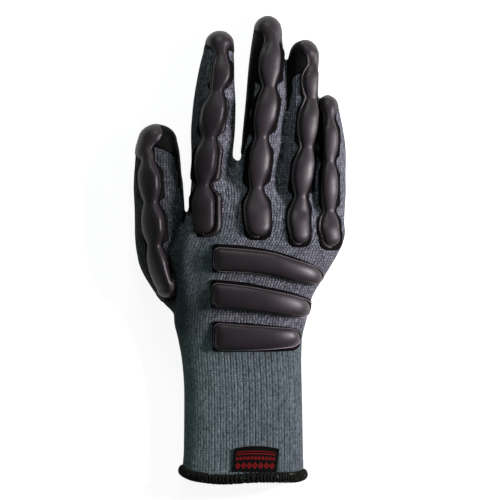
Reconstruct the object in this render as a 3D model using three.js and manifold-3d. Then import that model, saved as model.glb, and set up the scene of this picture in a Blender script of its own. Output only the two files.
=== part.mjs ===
// A right-hand impact glove that lies palm down: a knitted shell with a long ribbed cuff,
// a dipped palm coating, moulded rubber guards on the fingers and the back of the hand,
// an overlocked hem and a folded cloth label.
// Millimetres. +X points to the little finger, +Y to the fingertips and +Z out of the back.

import * as THREE from "three";
import { mergeVertices } from "three/addons/utils/BufferGeometryUtils.js";
import Module from "manifold-3d";

const wasm = await Module();
wasm.setup();

// Walls and gaps
const KNIT_WALL = 1.6;
const COATING_WALL = 0.6;
const GAP = 0.3;
const COATING_TOP = GAP + COATING_WALL;
const COATING_CLEAR = COATING_TOP + GAP;
const UNDERSIDE = -1.2;
const ROOT_UNDERSIDE = 6;
const COATING_END = 10;
const WAIST = 0.45;
const FINGER_FULLNESS = 2.2;
const BODY_FULLNESS = 2.5;
const FINGER_FLATNESS = 0.9;
const BODY_FLATNESS = 0.34;
const MOUTH_CUT = 5;
const FAR_UP = 60;

// Sides of the sections
const FINGER_SIDES = 12;
const PALM_SIDES = 28;
const CUFF_SIDES = 96;
const PLAIN_CUFF_SIDES = 48;
const INNER_FINGER_SIDES = 8;
const INNER_BODY_SIDES = 20;
const TIP_TURNS = [34, 70];
const SMOOTHED = 0.11;

// Guards, bars and the dip around them
const DIP_BESIDE = 4;
const DIP_UNDER = -5;
const FLANGE_TOP = 1.3;
const CAP_TOP = 1.6;
const CAP_TIP = 2.2;
const CAP_BOTTOM = 5;
const DOME = 1.3;
const ROOT_DEPTH = 4.5;
const END_RISE = 0.35;
const DOME_STEPS = [-1, -0.6, 0, 0.6, 1];
const END_TURNS = [40, 72];

// Cuff
const RIB_DEPTH = 0.35;
const HEM = { width: 7.4, drooped: 6.8, outside: 2.6, inside: 1, below: 0.8, sides: 6, steps: 28 };
const DROOP = { back: 1.6, depth: 2.4, at: -0.4, spread: 0.5, side: 0.7 };
const LABEL = { thickness: 0.7, lowest: 12, highest: 40 };

// Each row is a section of a finger, from inside the palm to where the fingertip starts to round off:
// the place of its centre, half its width and the height of its back. coat is the share of that
// height which the palm coating climbs on each side and at the tip.
const FINGERS = {
  index: {
    tip: 7.9,
    coat: { left: 0.3, right: 0.36, tip: 0.72 },
    rows: [
      { x: -17.6, y: 22, half: 12, top: 29 },
      { x: -17.1, y: 57, half: 12.5, top: 26 },
      { x: -16.5, y: 72, half: 13.3, top: 25 },
      { x: -15.7, y: 86, half: 12.9, top: 24 },
      { x: -15, y: 100, half: 11.5, top: 22 },
      { x: -13.7, y: 114, half: 9.8, top: 19 },
      { x: -12.6, y: 122, half: 7.6, top: 17 },
    ],
  },
  middle: {
    tip: 8.8,
    coat: { left: 0.8, right: 0.36, tip: 0.86 },
    rows: [
      { x: 10.4, y: 20, half: 12, top: 31 },
      { x: 11.8, y: 54, half: 11.6, top: 28 },
      { x: 13.6, y: 66, half: 12.2, top: 27 },
      { x: 14.8, y: 80, half: 12, top: 26 },
      { x: 15.6, y: 94, half: 11.4, top: 24 },
      { x: 15.7, y: 108, half: 10.7, top: 21 },
      { x: 15.9, y: 122, half: 9.2, top: 19 },
      { x: 16.5, y: 130, half: 7.3, top: 17 },
    ],
  },
  ring: {
    tip: 8.4,
    coat: { left: 0.72, right: 0.36, tip: 0.86 },
    rows: [
      { x: 34.6, y: 14, half: 10.6, top: 29 },
      { x: 34, y: 46, half: 10, top: 27 },
      { x: 35.1, y: 56, half: 9.5, top: 26 },
      { x: 36.7, y: 66, half: 9, top: 25 },
      { x: 37.4, y: 80, half: 8.5, top: 23 },
      { x: 37.3, y: 108, half: 8.5, top: 18 },
      { x: 37.7, y: 116, half: 7.6, top: 16.5 },
    ],
  },
  little: {
    tip: 7.2,
    coat: { left: 0.6, right: 0.36, tip: 0.8 },
    rows: [
      { x: 51.6, y: 6, half: 10, top: 25 },
      { x: 53.4, y: 34, half: 9.9, top: 23 },
      { x: 54.4, y: 46, half: 8.8, top: 22 },
      { x: 55.2, y: 58, half: 8.2, top: 20 },
      { x: 54.3, y: 72, half: 7.2, top: 18 },
      { x: 53, y: 83.6, half: 5.7, top: 15 },
    ],
  },
  thumb: {
    tip: 8.1,
    coat: { left: 0.3, right: 0.76, tip: 0.8 },
    rows: [
      { x: -33, y: -39, half: 5, top: 14 },
      { x: -38.6, y: -26, half: 10, top: 20 },
      { x: -43.2, y: -15, half: 12.8, top: 22 },
      { x: -47.4, y: -3, half: 14.3, top: 23 },
      { x: -49, y: 12, half: 14.3, top: 24 },
      { x: -48.6, y: 25, half: 14.8, top: 24 },
      { x: -49.4, y: 36, half: 14.7, top: 23 },
      { x: -49.8, y: 48, half: 13.7, top: 22 },
      { x: -50, y: 60, half: 12.2, top: 19 },
      { x: -50, y: 65.5, half: 10.5, top: 17 },
    ],
  },
};

// Each row is a section of the hand and cuff, from the webs to the mouth of the cuff: its end on the
// thumb side, its end on the little finger side, the height of its back, the height of its flat
// underside, how much of the ribs it shows and the share of its height that the coating climbs.
const PALM = [
  { leftX: -25, leftY: 66, rightX: 52, rightY: 22.5, top: 14, rest: 0.9, rib: 0, coat: 0.4 },
  { leftX: -27, leftY: 57, rightX: 58, rightY: 18.5, top: 20, rest: 0.9, rib: 0, coat: 0.38 },
  { leftX: -29, leftY: 46, rightX: 62, rightY: 15.5, top: 26.5, rest: 0.9, rib: 0, coat: 0.34 },
  { leftX: -30.3, leftY: 33, rightX: 63, rightY: 11.5, top: 31.5, rest: 0.9, rib: 0, coat: 0.3 },
  { leftX: -32.7, leftY: 15, rightX: 61.8, rightY: 5, top: 34, rest: 0.9, rib: 0, coat: 0.3 },
  { leftX: -39, leftY: -1, rightX: 58.4, rightY: -2.5, top: 35, rest: 0.9, rib: 0, coat: 0.3 },
  { leftX: -39.9, leftY: -16, rightX: 50.4, rightY: -16, top: 34, rest: 0.9, rib: 0, coat: 0.3 },
  { leftX: -39.6, leftY: -30, rightX: 42.8, rightY: -29, top: 32, rest: 0.9, rib: 0, coat: 0.28 },
  { leftX: -40.2, leftY: -41, rightX: 39.9, rightY: -41, top: 29, rest: 0.9, rib: 0, coat: 0.2 },
  { leftX: -37.6, leftY: -48, rightX: 37.2, rightY: -48, top: 26, rest: 1.4, rib: 0, coat: 0.1 },
];
const CUFF = [
  { leftX: -38.2, leftY: -40, rightX: 37.9, rightY: -40, top: 27, rest: 1.4, rib: 0 },
  { leftX: -39.8, leftY: -43, rightX: 39.5, rightY: -43, top: 28.6, rest: 0.9, rib: 0.3 },
  { leftX: -37.5, leftY: -54, rightX: 37, rightY: -54, top: 26.5, rest: 0, rib: 1 },
  { leftX: -35.1, leftY: -68, rightX: 36.6, rightY: -68, top: 25, rest: 0, rib: 1 },
  { leftX: -33.9, leftY: -88, rightX: 37.1, rightY: -88, top: 24, rest: 0, rib: 1 },
  { leftX: -34.2, leftY: -121, rightX: 37.7, rightY: -122, top: 22.5, rest: 0.6, rib: 1 },
  { leftX: -35, leftY: -131.2, rightX: 38, rightY: -133.6, top: 22, rest: 1.6, rib: 1 },
];

// Each row of a cap is a cut across the fingertip, and each row of a bead is the widest place of a
// lobe or the narrowest place of a neck: its middle, half its width, how high it stands on the knit
// and how far it leans to the side. flange is how far the thin base stands out on each side.
const GUARDS = {
  index: {
    lowest: 7,
    flange: { left: 1.2, right: 2.8 },
    cap: [
      { x: -12, y: 137, half: 16 },
      { x: -12, y: 126, half: 13 },
      { x: -12.2, y: 123, half: 9.2 },
      { x: -12.6, y: 121.2, half: 5.9 },
      { x: -12.3, y: 119.4, half: 3.9 },
      { x: -12.3, y: 116, half: 2.8 },
    ],
    bead: [
      { x: -12, y: 123, half: 4.4, rise: 3.2, lean: 0 },
      { x: -11.5, y: 117.2, half: 3, rise: 3.4, lean: 0 },
      { x: -11.4, y: 105, half: 5.2, rise: 4.6, lean: -4 },
      { x: -14.1, y: 95, half: 3, rise: 3.4, lean: -8 },
      { x: -16.8, y: 80.5, half: 6.8, rise: 5, lean: -12 },
      { x: -18.9, y: 67, half: 3.3, rise: 3.4, lean: -18 },
      { x: -21.7, y: 53, half: 6.5, rise: 5, lean: -20 },
      { x: -22.4, y: 38.5, half: 3, rise: 3.4, lean: -18 },
      { x: -23.2, y: 25.5, half: 6.7, rise: 4.8, lean: -16 },
      { x: -22.8, y: 16, half: 6.5, rise: 4.8, lean: -16 },
    ],
    end: 6,
  },
  middle: {
    lowest: 7,
    flange: { left: 1.8, right: 1.3 },
    cap: [
      { x: 16, y: 147, half: 16 },
      { x: 16.4, y: 135, half: 13 },
      { x: 17.6, y: 131.4, half: 9 },
      { x: 19.3, y: 128.2, half: 5.8 },
      { x: 19.6, y: 126, half: 4.6 },
      { x: 19.4, y: 123, half: 4 },
    ],
    bead: [
      { x: 18.8, y: 131, half: 5, rise: 3.2, lean: 8 },
      { x: 19.2, y: 125, half: 3.7, rise: 3.4, lean: 10 },
      { x: 18.1, y: 111, half: 6.1, rise: 4.8, lean: 12 },
      { x: 17.5, y: 97.3, half: 3.2, rise: 3.4, lean: 12 },
      { x: 15.6, y: 82, half: 6.3, rise: 5, lean: 12 },
      { x: 12.8, y: 67, half: 2.9, rise: 3.4, lean: 12 },
      { x: 11.5, y: 51.5, half: 6.3, rise: 5, lean: 12 },
      { x: 9.8, y: 36.6, half: 3, rise: 3.4, lean: 12 },
      { x: 10.7, y: 21, half: 7.1, rise: 5, lean: 12 },
      { x: 11.2, y: 14.5, half: 6.7, rise: 5, lean: 12 },
    ],
    end: 6.4,
  },
  ring: {
    lowest: 7,
    flange: { left: 1.8, right: 1.3 },
    cap: [
      { x: 44, y: 134, half: 8.3 },
      { x: 44, y: 126, half: 8.3 },
      { x: 43, y: 120.4, half: 7 },
      { x: 43.4, y: 117, half: 5.7 },
      { x: 44.2, y: 114.4, half: 4 },
      { x: 43.7, y: 111, half: 2.8 },
    ],
    bead: [
      { x: 42.6, y: 117.5, half: 4.4, rise: 3.2, lean: 12 },
      { x: 43.6, y: 111.4, half: 2.8, rise: 3.4, lean: 14 },
      { x: 42.5, y: 101.2, half: 4.5, rise: 4.4, lean: 18 },
      { x: 42.6, y: 90.6, half: 3.1, rise: 3.4, lean: 18 },
      { x: 41.2, y: 76, half: 5.6, rise: 5, lean: 18 },
      { x: 40.2, y: 61.4, half: 3.2, rise: 3.4, lean: 18 },
      { x: 38.2, y: 46.5, half: 6, rise: 5, lean: 18 },
      { x: 36.6, y: 31.8, half: 2.8, rise: 3.4, lean: 18 },
      { x: 35.4, y: 17.5, half: 5.9, rise: 4.8, lean: 20 },
      { x: 36.2, y: 9.5, half: 5.4, rise: 4.8, lean: 20 },
    ],
    end: 5.6,
  },
  little: {
    lowest: 7,
    flange: { left: 1.6, right: 1.2 },
    cap: [
      { x: 53, y: 99, half: 12 },
      { x: 53, y: 89, half: 9 },
      { x: 52.8, y: 86.3, half: 6.2 },
      { x: 53.3, y: 83.3, half: 4.7 },
      { x: 53.5, y: 80.7, half: 3 },
      { x: 53.2, y: 78, half: 2.4 },
    ],
    bead: [
      { x: 53.2, y: 84.4, half: 4.4, rise: 3, lean: 8 },
      { x: 53.5, y: 78.6, half: 2.4, rise: 3.2, lean: 12 },
      { x: 54.2, y: 66, half: 4.5, rise: 4.4, lean: 16 },
      { x: 53.4, y: 52.3, half: 2.7, rise: 3.2, lean: 18 },
      { x: 53.6, y: 38.7, half: 4.9, rise: 4.8, lean: 20 },
      { x: 53.5, y: 23, half: 2.7, rise: 3.2, lean: 20 },
      { x: 53.6, y: 13, half: 5.6, rise: 4.8, lean: 20 },
      { x: 54.6, y: 7.4, half: 5.2, rise: 4.8, lean: 20 },
    ],
    end: 5.2,
  },
  thumb: {
    lowest: 3,
    flange: { left: 1, right: 3.4 },
    cap: [
      { x: -57, y: 82, half: 10 },
      { x: -57, y: 73.4, half: 9.5 },
      { x: -56, y: 69.4, half: 10.5 },
      { x: -57.5, y: 65.3, half: 9.3 },
      { x: -59, y: 62, half: 7.5 },
      { x: -58.8, y: 57.6, half: 5.2 },
      { x: -56.9, y: 53.5, half: 3.2 },
    ],
    bead: [
      { x: -56.4, y: 61.5, half: 5.4, rise: 3.4, lean: -24 },
      { x: -56, y: 54.4, half: 3.7, rise: 3.4, lean: -30 },
      { x: -55.3, y: 41, half: 6.9, rise: 4.8, lean: -34 },
      { x: -54.2, y: 28.2, half: 4.2, rise: 3.4, lean: -34 },
      { x: -53.5, y: 14.5, half: 7.3, rise: 5, lean: -36 },
      { x: -52.3, y: 2.5, half: 4.6, rise: 3.4, lean: -38 },
      { x: -49.9, y: -10.8, half: 6.8, rise: 4.8, lean: -40 },
      { x: -47.3, y: -19, half: 6.6, rise: 4.8, lean: -40 },
      { x: -45.2, y: -24, half: 5.8, rise: 4.6, lean: -40 },
    ],
    end: 4.6,
  },
};

// Each row of a bar is a cut across it: its place along the bar, its two long edges, the two long
// edges of its base, how high it stands on the knit and how far it leans to the little finger side.
const BARS = {
  upper: [
    { x: -15.2, low: -9, high: -3.2, baseLow: -13.2, baseHigh: 3.4, rise: 4.2, lean: -4 },
    { x: -13.2, low: -12, high: 0.3, baseLow: -13.6, baseHigh: 3.4, rise: 4.8, lean: -4 },
    { x: 3, low: -12.9, high: -0.9, baseLow: -14, baseHigh: 2, rise: 5, lean: 0 },
    { x: 18, low: -14.7, high: -2.7, baseLow: -15.8, baseHigh: -0.3, rise: 5, lean: 6 },
    { x: 33, low: -18.4, high: -6.9, baseLow: -19.4, baseHigh: -4.5, rise: 4.8, lean: 14 },
    { x: 44.5, low: -20.7, high: -10.2, baseLow: -21.6, baseHigh: -8.8, rise: 4.4, lean: 26 },
    { x: 48.3, low: -18.4, high: -13.4, baseLow: -20.4, baseHigh: -12, rise: 3.8, lean: 34 },
  ],
  middle: [
    { x: -16.2, low: -30, high: -24, baseLow: -34.6, baseHigh: -17.8, rise: 4.2, lean: -4 },
    { x: -14, low: -33.7, high: -20.4, baseLow: -35.2, baseHigh: -17.8, rise: 4.8, lean: -4 },
    { x: 3, low: -35.6, high: -22.4, baseLow: -36.8, baseHigh: -19.4, rise: 5, lean: 0 },
    { x: 18, low: -37.4, high: -24.9, baseLow: -38.6, baseHigh: -22.2, rise: 5, lean: 6 },
    { x: 31, low: -39.4, high: -27.4, baseLow: -40.6, baseHigh: -24.9, rise: 4.8, lean: 14 },
    { x: 38, low: -40.1, high: -29.4, baseLow: -41.2, baseHigh: -27.4, rise: 4.6, lean: 22 },
    { x: 41, low: -37.2, high: -32, baseLow: -39.6, baseHigh: -29.6, rise: 3.8, lean: 28 },
  ],
  lower: [
    { x: -15.2, low: -55.2, high: -48.6, baseLow: -60.6, baseHigh: -42.3, rise: 4.2, lean: -4 },
    { x: -13.2, low: -59, high: -44.1, baseLow: -60.9, baseHigh: -42.3, rise: 4.8, lean: -4 },
    { x: 3, low: -59.4, high: -45.6, baseLow: -60.9, baseHigh: -43.4, rise: 5, lean: 0 },
    { x: 18, low: -58.8, high: -46.6, baseLow: -60.9, baseHigh: -44.8, rise: 5, lean: 6 },
    { x: 30.5, low: -57.6, high: -47.6, baseLow: -60.6, baseHigh: -46.2, rise: 4.6, lean: 16 },
    { x: 35, low: -55.4, high: -51, baseLow: -59.4, baseHigh: -48.6, rise: 3.8, lean: 24 },
  ],
};
const BAR_MARGIN = 1.6;
const BAR_DEPTH = 4.5;

// The corners of the label
const LABEL_OUTLINE = [
  { x: -3.9, y: -118.8 },
  { x: 6.9, y: -117.3 },
  { x: 14, y: -117.6 },
  { x: 23.1, y: -119.1 },
  { x: 21.9, y: -131.6 },
  { x: 8, y: -131.9 },
  { x: -5.1, y: -131.4 },
];

// Rings of points become one closed skin: the sides, and a fan over each end unless it is a loop.
function skin(rings, loop = false) {
  const points = rings.flat();
  const sides = rings[0].length;
  const faces = [];
  const spans = loop ? rings.length : rings.length - 1;
  for (let i = 0; i < spans; i++) {
    const here = i * sides;
    const next = ((i + 1) % rings.length) * sides;
    for (let k = 0; k < sides; k++) {
      const l = (k + 1) % sides;
      faces.push([here + k, here + l, next + l], [here + k, next + l, next + k]);
    }
  }
  if (!loop) {
    const fan = (ring, start, turned) => {
      const middle = ring.reduce((sum, p) => sum.add(p), new THREE.Vector3()).divideScalar(sides);
      points.push(middle);
      for (let k = 0; k < sides; k++) {
        const face = [start + k, points.length - 1, start + ((k + 1) % sides)];
        faces.push(turned ? face.reverse() : face);
      }
    };
    fan(rings[0], 0, false);
    fan(rings.at(-1), (rings.length - 1) * sides, true);
  }
  return solid(facingOut(points, faces));
}

// A geometry of those points and faces, with the faces turned round if they point inwards.
function facingOut(points, faces) {
  const volume = faces.reduce((sum, [a, b, c]) => {
    return sum + points[a].dot(new THREE.Vector3().crossVectors(points[b], points[c]));
  }, 0);
  const index = volume < 0 ? faces.map(([a, b, c]) => [a, c, b]) : faces;
  const geometry = new THREE.BufferGeometry().setFromPoints(points);
  return geometry.setIndex(index.flat());
}

function solid(geometry) {
  const bare = new THREE.BufferGeometry();
  bare.setAttribute("position", geometry.getAttribute("position"));
  bare.setIndex(geometry.getIndex());
  const merged = mergeVertices(bare, 1e-4);
  const vertProperties = new Float32Array(merged.attributes.position.array);
  const triVerts = new Uint32Array(merged.index.array);
  return new wasm.Manifold(new wasm.Mesh({ numProp: 3, vertProperties, triVerts }));
}

function geometryOf(manifold) {
  const mesh = manifold.getMesh();
  const position = new Float32Array(mesh.numVert * 3);
  for (let i = 0; i < mesh.numVert; i++) {
    position.set(mesh.vertProperties.subarray(i * mesh.numProp, i * mesh.numProp + 3), i * 3);
  }
  const geometry = new THREE.BufferGeometry();
  geometry.setAttribute("position", new THREE.BufferAttribute(position, 3));
  geometry.setIndex(new THREE.BufferAttribute(new Uint32Array(mesh.triVerts), 1));
  return geometry;
}

// The simplified solid, without specks that the cuts leave beside it
function tidied(manifold) {
  const bodies = manifold.asOriginal().simplify(SMOOTHED).decompose();
  return bodies.reduce((largest, body) => (body.volume() > largest.volume() ? body : largest));
}

const join = (parts) => parts.reduce((sum, part) => sum.add(part));
const signedPower = (value, power) => Math.sign(value) * Math.abs(value) ** power;
const mix = THREE.MathUtils.lerp;

// Angles round an oval of that fullness, with about as much surface between each two
function evenAngles(sides, fullness, flatness) {
  const steps = 720;
  const at = (k) => ovalPoint((2 * Math.PI * k) / steps, fullness).multiply(new THREE.Vector2(1, flatness));
  const lengths = [0];
  for (let k = 0; k < steps; k++) lengths.push(lengths[k] + at(k).distanceTo(at(k + 1)));
  return Array.from({ length: sides }, (_, k) => {
    const wanted = (lengths[steps] * k) / sides;
    const after = Math.max(1, lengths.findIndex((length) => length >= wanted));
    const share = (wanted - lengths[after - 1]) / (lengths[after] - lengths[after - 1]);
    return (2 * Math.PI * (after - 1 + share)) / steps;
  });
}

function ovalPoint(angle, fullness) {
  return new THREE.Vector2(
    signedPower(Math.cos(angle), 2 / fullness),
    signedPower(Math.sin(angle), 2 / fullness),
  );
}

const fingerAngles = (sides) => evenAngles(sides, FINGER_FULLNESS, FINGER_FLATNESS);
const bodyAngles = (sides) => evenAngles(sides, BODY_FULLNESS, BODY_FLATNESS);

// One oval section round its middle, from the underside to the back.
// grow moves it outwards, and what would sink below rest is flattened.
function section({ middle, across, half, waist, above, below, rest }, angles, fullness, grow, rib = 0) {
  return angles.map((angle, k) => {
    const swell = grow + (k % 2 ? -rib : rib);
    const oval = ovalPoint(angle, fullness);
    const point = middle.clone().addScaledVector(across, oval.x * (half + swell));
    const up = waist + oval.y * ((oval.y > 0 ? above : below) + swell);
    return new THREE.Vector3(point.x, point.y, Math.max(up, rest - grow));
  });
}

// The sections of a finger: its rows, and then a rounded tip.
function fingerRings({ rows, tip }, sides, grow, tipGrow = grow) {
  const angles = fingerAngles(sides);
  const rest = COATING_TOP;
  const centre = rows.map((row) => new THREE.Vector2(row.x, row.y));
  const rings = rows.map((row, i) => {
    const before = centre[Math.max(i - 1, 0)];
    const after = centre[Math.min(i + 1, rows.length - 1)];
    const along = after.clone().sub(before).normalize();
    const across = new THREE.Vector2(along.y, -along.x);
    const bottom = i ? UNDERSIDE : ROOT_UNDERSIDE;
    const waist = bottom + WAIST * (row.top - bottom);
    const sizes = { half: row.half, waist, above: row.top - waist, below: waist - bottom, rest };
    return section({ middle: centre[i], across, ...sizes }, angles, FINGER_FULLNESS, grow);
  });
  const last = rows.at(-1);
  const along = centre.at(-1).clone().sub(centre.at(-2)).normalize();
  const across = new THREE.Vector2(along.y, -along.x);
  const waist = UNDERSIDE + WAIST * (last.top - UNDERSIDE);
  for (const turn of TIP_TURNS) {
    const angle = THREE.MathUtils.degToRad(turn);
    const shrunk = (size) => (size + grow) * Math.cos(angle) - grow;
    const middle = centre.at(-1).clone().addScaledVector(along, (tip + tipGrow) * Math.sin(angle));
    const above = shrunk(last.top - waist);
    const below = shrunk(waist - UNDERSIDE);
    const oval = { middle, across, half: shrunk(last.half), waist, above, below, rest };
    rings.push(section(oval, angles, FINGER_FULLNESS, grow));
  }
  return rings;
}

// How far the back of the cuff's mouth droops, at an angle round its section
function drooping(angle) {
  const { back, depth, at, spread, side } = DROOP;
  const across = ovalPoint(angle, BODY_FULLNESS).x;
  const lift = THREE.MathUtils.smoothstep(Math.sin(angle), 0, side);
  return lift * (back + depth * Math.exp(-(((across - at) / spread) ** 2)));
}

function bodyRings(rows, sides, grow, ribDepth = 0) {
  const angles = bodyAngles(sides);
  return rows.map((row, i) => {
    const left = new THREE.Vector2(row.leftX, row.leftY);
    const right = new THREE.Vector2(row.rightX, row.rightY);
    const middle = left.clone().add(right).divideScalar(2);
    const across = right.clone().sub(left).normalize();
    const half = left.distanceTo(right) / 2;
    const waist = UNDERSIDE + WAIST * (row.top - UNDERSIDE);
    const sizes = { half, waist, above: row.top - waist, below: waist - UNDERSIDE, rest: row.rest };
    const ring = section({ middle, across, ...sizes }, angles, BODY_FULLNESS, grow, row.rib * ribDepth);
    const share = rows === CUFF ? Math.max(0, i - (rows.length - 3)) / 2 : 0;
    return ring.map((point, k) => point.setY(point.y - share * drooping(angles[k])));
  });
}

// The palm, grown towards the fingers too
function palm(grow, sides) {
  const rings = bodyRings(PALM, sides, grow);
  rings[0].forEach((point) => point.setY(point.y + grow));
  return skin(rings);
}

// mouth lengthens the cuff.
function cuff(grow, sides, ribDepth = 0, mouth = 0) {
  const rings = bodyRings(CUFF, sides, grow, ribDepth);
  if (mouth) rings.push(rings.at(-1).map((p) => p.clone().setY(p.y - mouth)));
  return skin(rings);
}

function fingersGrown(grow, sides) {
  return join(Object.values(FINGERS).map((finger) => skin(fingerRings(finger, sides, grow))));
}

// The whole hand as one solid, its surface moved outwards by grow
function hand(grow, fingerSides = FINGER_SIDES, palmSides = PALM_SIDES) {
  return fingersGrown(grow, fingerSides).add(palm(grow, palmSides));
}

const outer = hand(0).add(cuff(0, CUFF_SIDES, RIB_DEPTH));
const handHollow = hand(-KNIT_WALL, INNER_FINGER_SIDES, INNER_BODY_SIDES);
const hollow = handHollow.add(cuff(-KNIT_WALL, INNER_BODY_SIDES, 0, MOUTH_CUT));
const knit = tidied(outer.subtract(hollow));
const clear = hand(GAP).add(cuff(RIB_DEPTH + GAP, PLAIN_CUFF_SIDES));

// The palm side that the coating covers: a slab under each finger and under the palm
function dipped(raise) {
  const slab = (left, right, high) => [
    new THREE.Vector3(left.x, left.y, DIP_UNDER),
    new THREE.Vector3(right.x, right.y, DIP_UNDER),
    new THREE.Vector3(right.x, right.y, high.right + raise),
    new THREE.Vector3(left.x, left.y, high.left + raise),
  ];
  const fingers = Object.values(FINGERS).map(({ rows, tip, coat }) => {
    const rings = rows.map(({ x, y, half, top }) => {
      const left = new THREE.Vector2(x - half - DIP_BESIDE, y);
      const right = new THREE.Vector2(x + half + DIP_BESIDE, y);
      return slab(left, right, { left: coat.left * top, right: coat.right * top });
    });
    const last = rows.at(-1);
    const left = new THREE.Vector2(last.x - last.half - DIP_BESIDE, last.y + tip + DIP_BESIDE);
    const right = left.clone().setX(last.x + last.half + DIP_BESIDE);
    rings.push(slab(left, right, { left: coat.tip * last.top, right: coat.tip * last.top }));
    return skin(rings);
  });
  const rings = PALM.map((row) => {
    const short = row === PALM.at(-1) ? COATING_END : 0;
    const left = new THREE.Vector2(row.leftX - DIP_BESIDE, row.leftY + short);
    const right = new THREE.Vector2(row.rightX + DIP_BESIDE, row.rightY + short);
    return slab(left, right, { left: row.coat * row.top, right: row.coat * row.top });
  });
  return join([...fingers, skin(rings)]);
}

const coating = tidied(hand(COATING_TOP).intersect(dipped(0)).subtract(hand(GAP)));
const taken = clear.add(hand(COATING_CLEAR).intersect(dipped(2 * GAP)));

// Heights of the back of the hand, found by looking straight down.
// Beside the hand it is the height of a finger's widest place.
const BESIDE_HEIGHT = 9;
const back = new THREE.Mesh(geometryOf(hand(0).add(cuff(0, PALM_SIDES))));
const look = new THREE.Raycaster();
function heightAt(x, y) {
  look.set(new THREE.Vector3(x, y, FAR_UP), new THREE.Vector3(0, 0, -1));
  const hit = look.intersectObject(back)[0];
  return hit ? hit.point.z : BESIDE_HEIGHT;
}

// Values between the rows of a table, easing in and out at each row
function eased(rows, steps) {
  const between = rows.slice(0, -1).flatMap((row, i) => {
    const next = rows[i + 1];
    return Array.from({ length: steps }, (_, k) => {
      const share = k / steps;
      const ease = (1 - Math.cos(Math.PI * share)) / 2;
      const value = (key) => mix(row[key], next[key], key === "y" ? share : ease);
      return Object.fromEntries(Object.keys(row).map((key) => [key, value(key)]));
    });
  });
  return [...between, rows.at(-1)];
}

// Rows that round off the end of a bead
function rounded(row, length) {
  return END_TURNS.map((turn) => {
    const angle = THREE.MathUtils.degToRad(turn);
    return {
      ...row,
      y: row.y - length * Math.sin(angle),
      half: row.half * Math.cos(angle),
      rise: row.rise * mix(1, Math.cos(angle), END_RISE),
    };
  });
}

// One section of a raised bead: steep walls up from inside the knit, and a domed top between edges
function beadRing({ x, y, half, rise, lean }) {
  const angle = THREE.MathUtils.degToRad(lean);
  const up = new THREE.Vector3(Math.sin(angle), 0, Math.cos(angle));
  const across = new THREE.Vector3(Math.cos(angle), 0, -Math.sin(angle));
  const edge = rise - DOME;
  const foot = x - up.x * edge;
  const centre = new THREE.Vector3(x, y, heightAt(foot, y) + up.z * edge);
  const place = (u, height) => centre.clone().addScaledVector(across, u * half).addScaledVector(up, height);
  const topside = DOME_STEPS.map((u) => place(u, DOME * (1 - u * u)));
  return [place(1, -edge - ROOT_DEPTH), place(-1, -edge - ROOT_DEPTH), ...topside];
}

// A tall straight-sided block whose sides follow the rows
function block(rows, low) {
  return skin(
    rows.map(({ x, y, half, lean = 0 }) => {
      const shift = (z) => Math.tan(THREE.MathUtils.degToRad(lean)) * (z - heightAt(x, y));
      const at = (side, z) => new THREE.Vector3(x + side * half + shift(z), y, z);
      return [at(-1, low), at(1, low), at(1, FAR_UP), at(-1, FAR_UP)];
    }),
  );
}

function guard(name) {
  const { cap, bead, end, lowest } = GUARDS[name];
  const { left, right } = GUARDS[name].flange;
  const finger = FINGERS[name];
  const rows = [...eased(bead, 2), ...rounded(bead.at(-1), end)];
  const wide = (row) => {
    const foot = row.x - Math.sin(THREE.MathUtils.degToRad(row.lean)) * (row.rise - DOME);
    return { ...row, x: foot + (right - left) / 2, half: row.half + (left + right) / 2 };
  };
  const flangeRows = [...bead.map(wide), ...rounded(wide(bead.at(-1)), end + left)];
  const skirtSkin = skin(fingerRings(finger, FINGER_SIDES, FLANGE_TOP)).add(palm(FLANGE_TOP, PALM_SIDES));
  const skirt = block(flangeRows, lowest).intersect(skirtSkin);
  const tipSkin = skin(fingerRings(finger, FINGER_SIDES, CAP_TOP, CAP_TIP));
  const tip = block(cap, CAP_BOTTOM).intersect(tipSkin);
  return tidied(join([skin(rows.map(beadRing)), skirt, tip]).subtract(taken));
}

// A bar is a domed pillow on a thin squarish base.
function bar(rows) {
  const ring = ({ x, low, high, rise, lean }) => {
    const angle = THREE.MathUtils.degToRad(lean);
    const up = new THREE.Vector3(Math.sin(angle), 0, Math.cos(angle));
    const y = (low + high) / 2;
    const edge = rise - DOME;
    const base = new THREE.Vector3(x, y, heightAt(x - up.x * edge, y) + up.z * edge);
    const place = (u, height) => {
      const point = base.clone().addScaledVector(up, height);
      return point.setY(y + (u * (high - low)) / 2);
    };
    const topside = DOME_STEPS.map((u) => place(u, DOME * (1 - u * u)));
    return [place(1, -edge - ROOT_DEPTH), place(-1, -edge - ROOT_DEPTH), ...topside];
  };
  const first = { ...rows[0], x: rows[0].x - BAR_MARGIN };
  const last = { ...rows.at(-1), x: rows.at(-1).x + BAR_MARGIN / 2 };
  const slab = skin(
    [first, ...rows, last].map(({ x, baseLow, baseHigh }) => {
      const bottom = heightAt(x, (baseLow + baseHigh) / 2) - BAR_DEPTH;
      return [
        new THREE.Vector3(x, baseLow, bottom),
        new THREE.Vector3(x, baseHigh, bottom),
        new THREE.Vector3(x, baseHigh, FAR_UP),
        new THREE.Vector3(x, baseLow, FAR_UP),
      ];
    }),
  );
  const skirtSkin = palm(FLANGE_TOP, PALM_SIDES).add(cuff(FLANGE_TOP, PALM_SIDES));
  return tidied(skin(rows.map(ring)).add(slab.intersect(skirtSkin)).subtract(taken));
}

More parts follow.
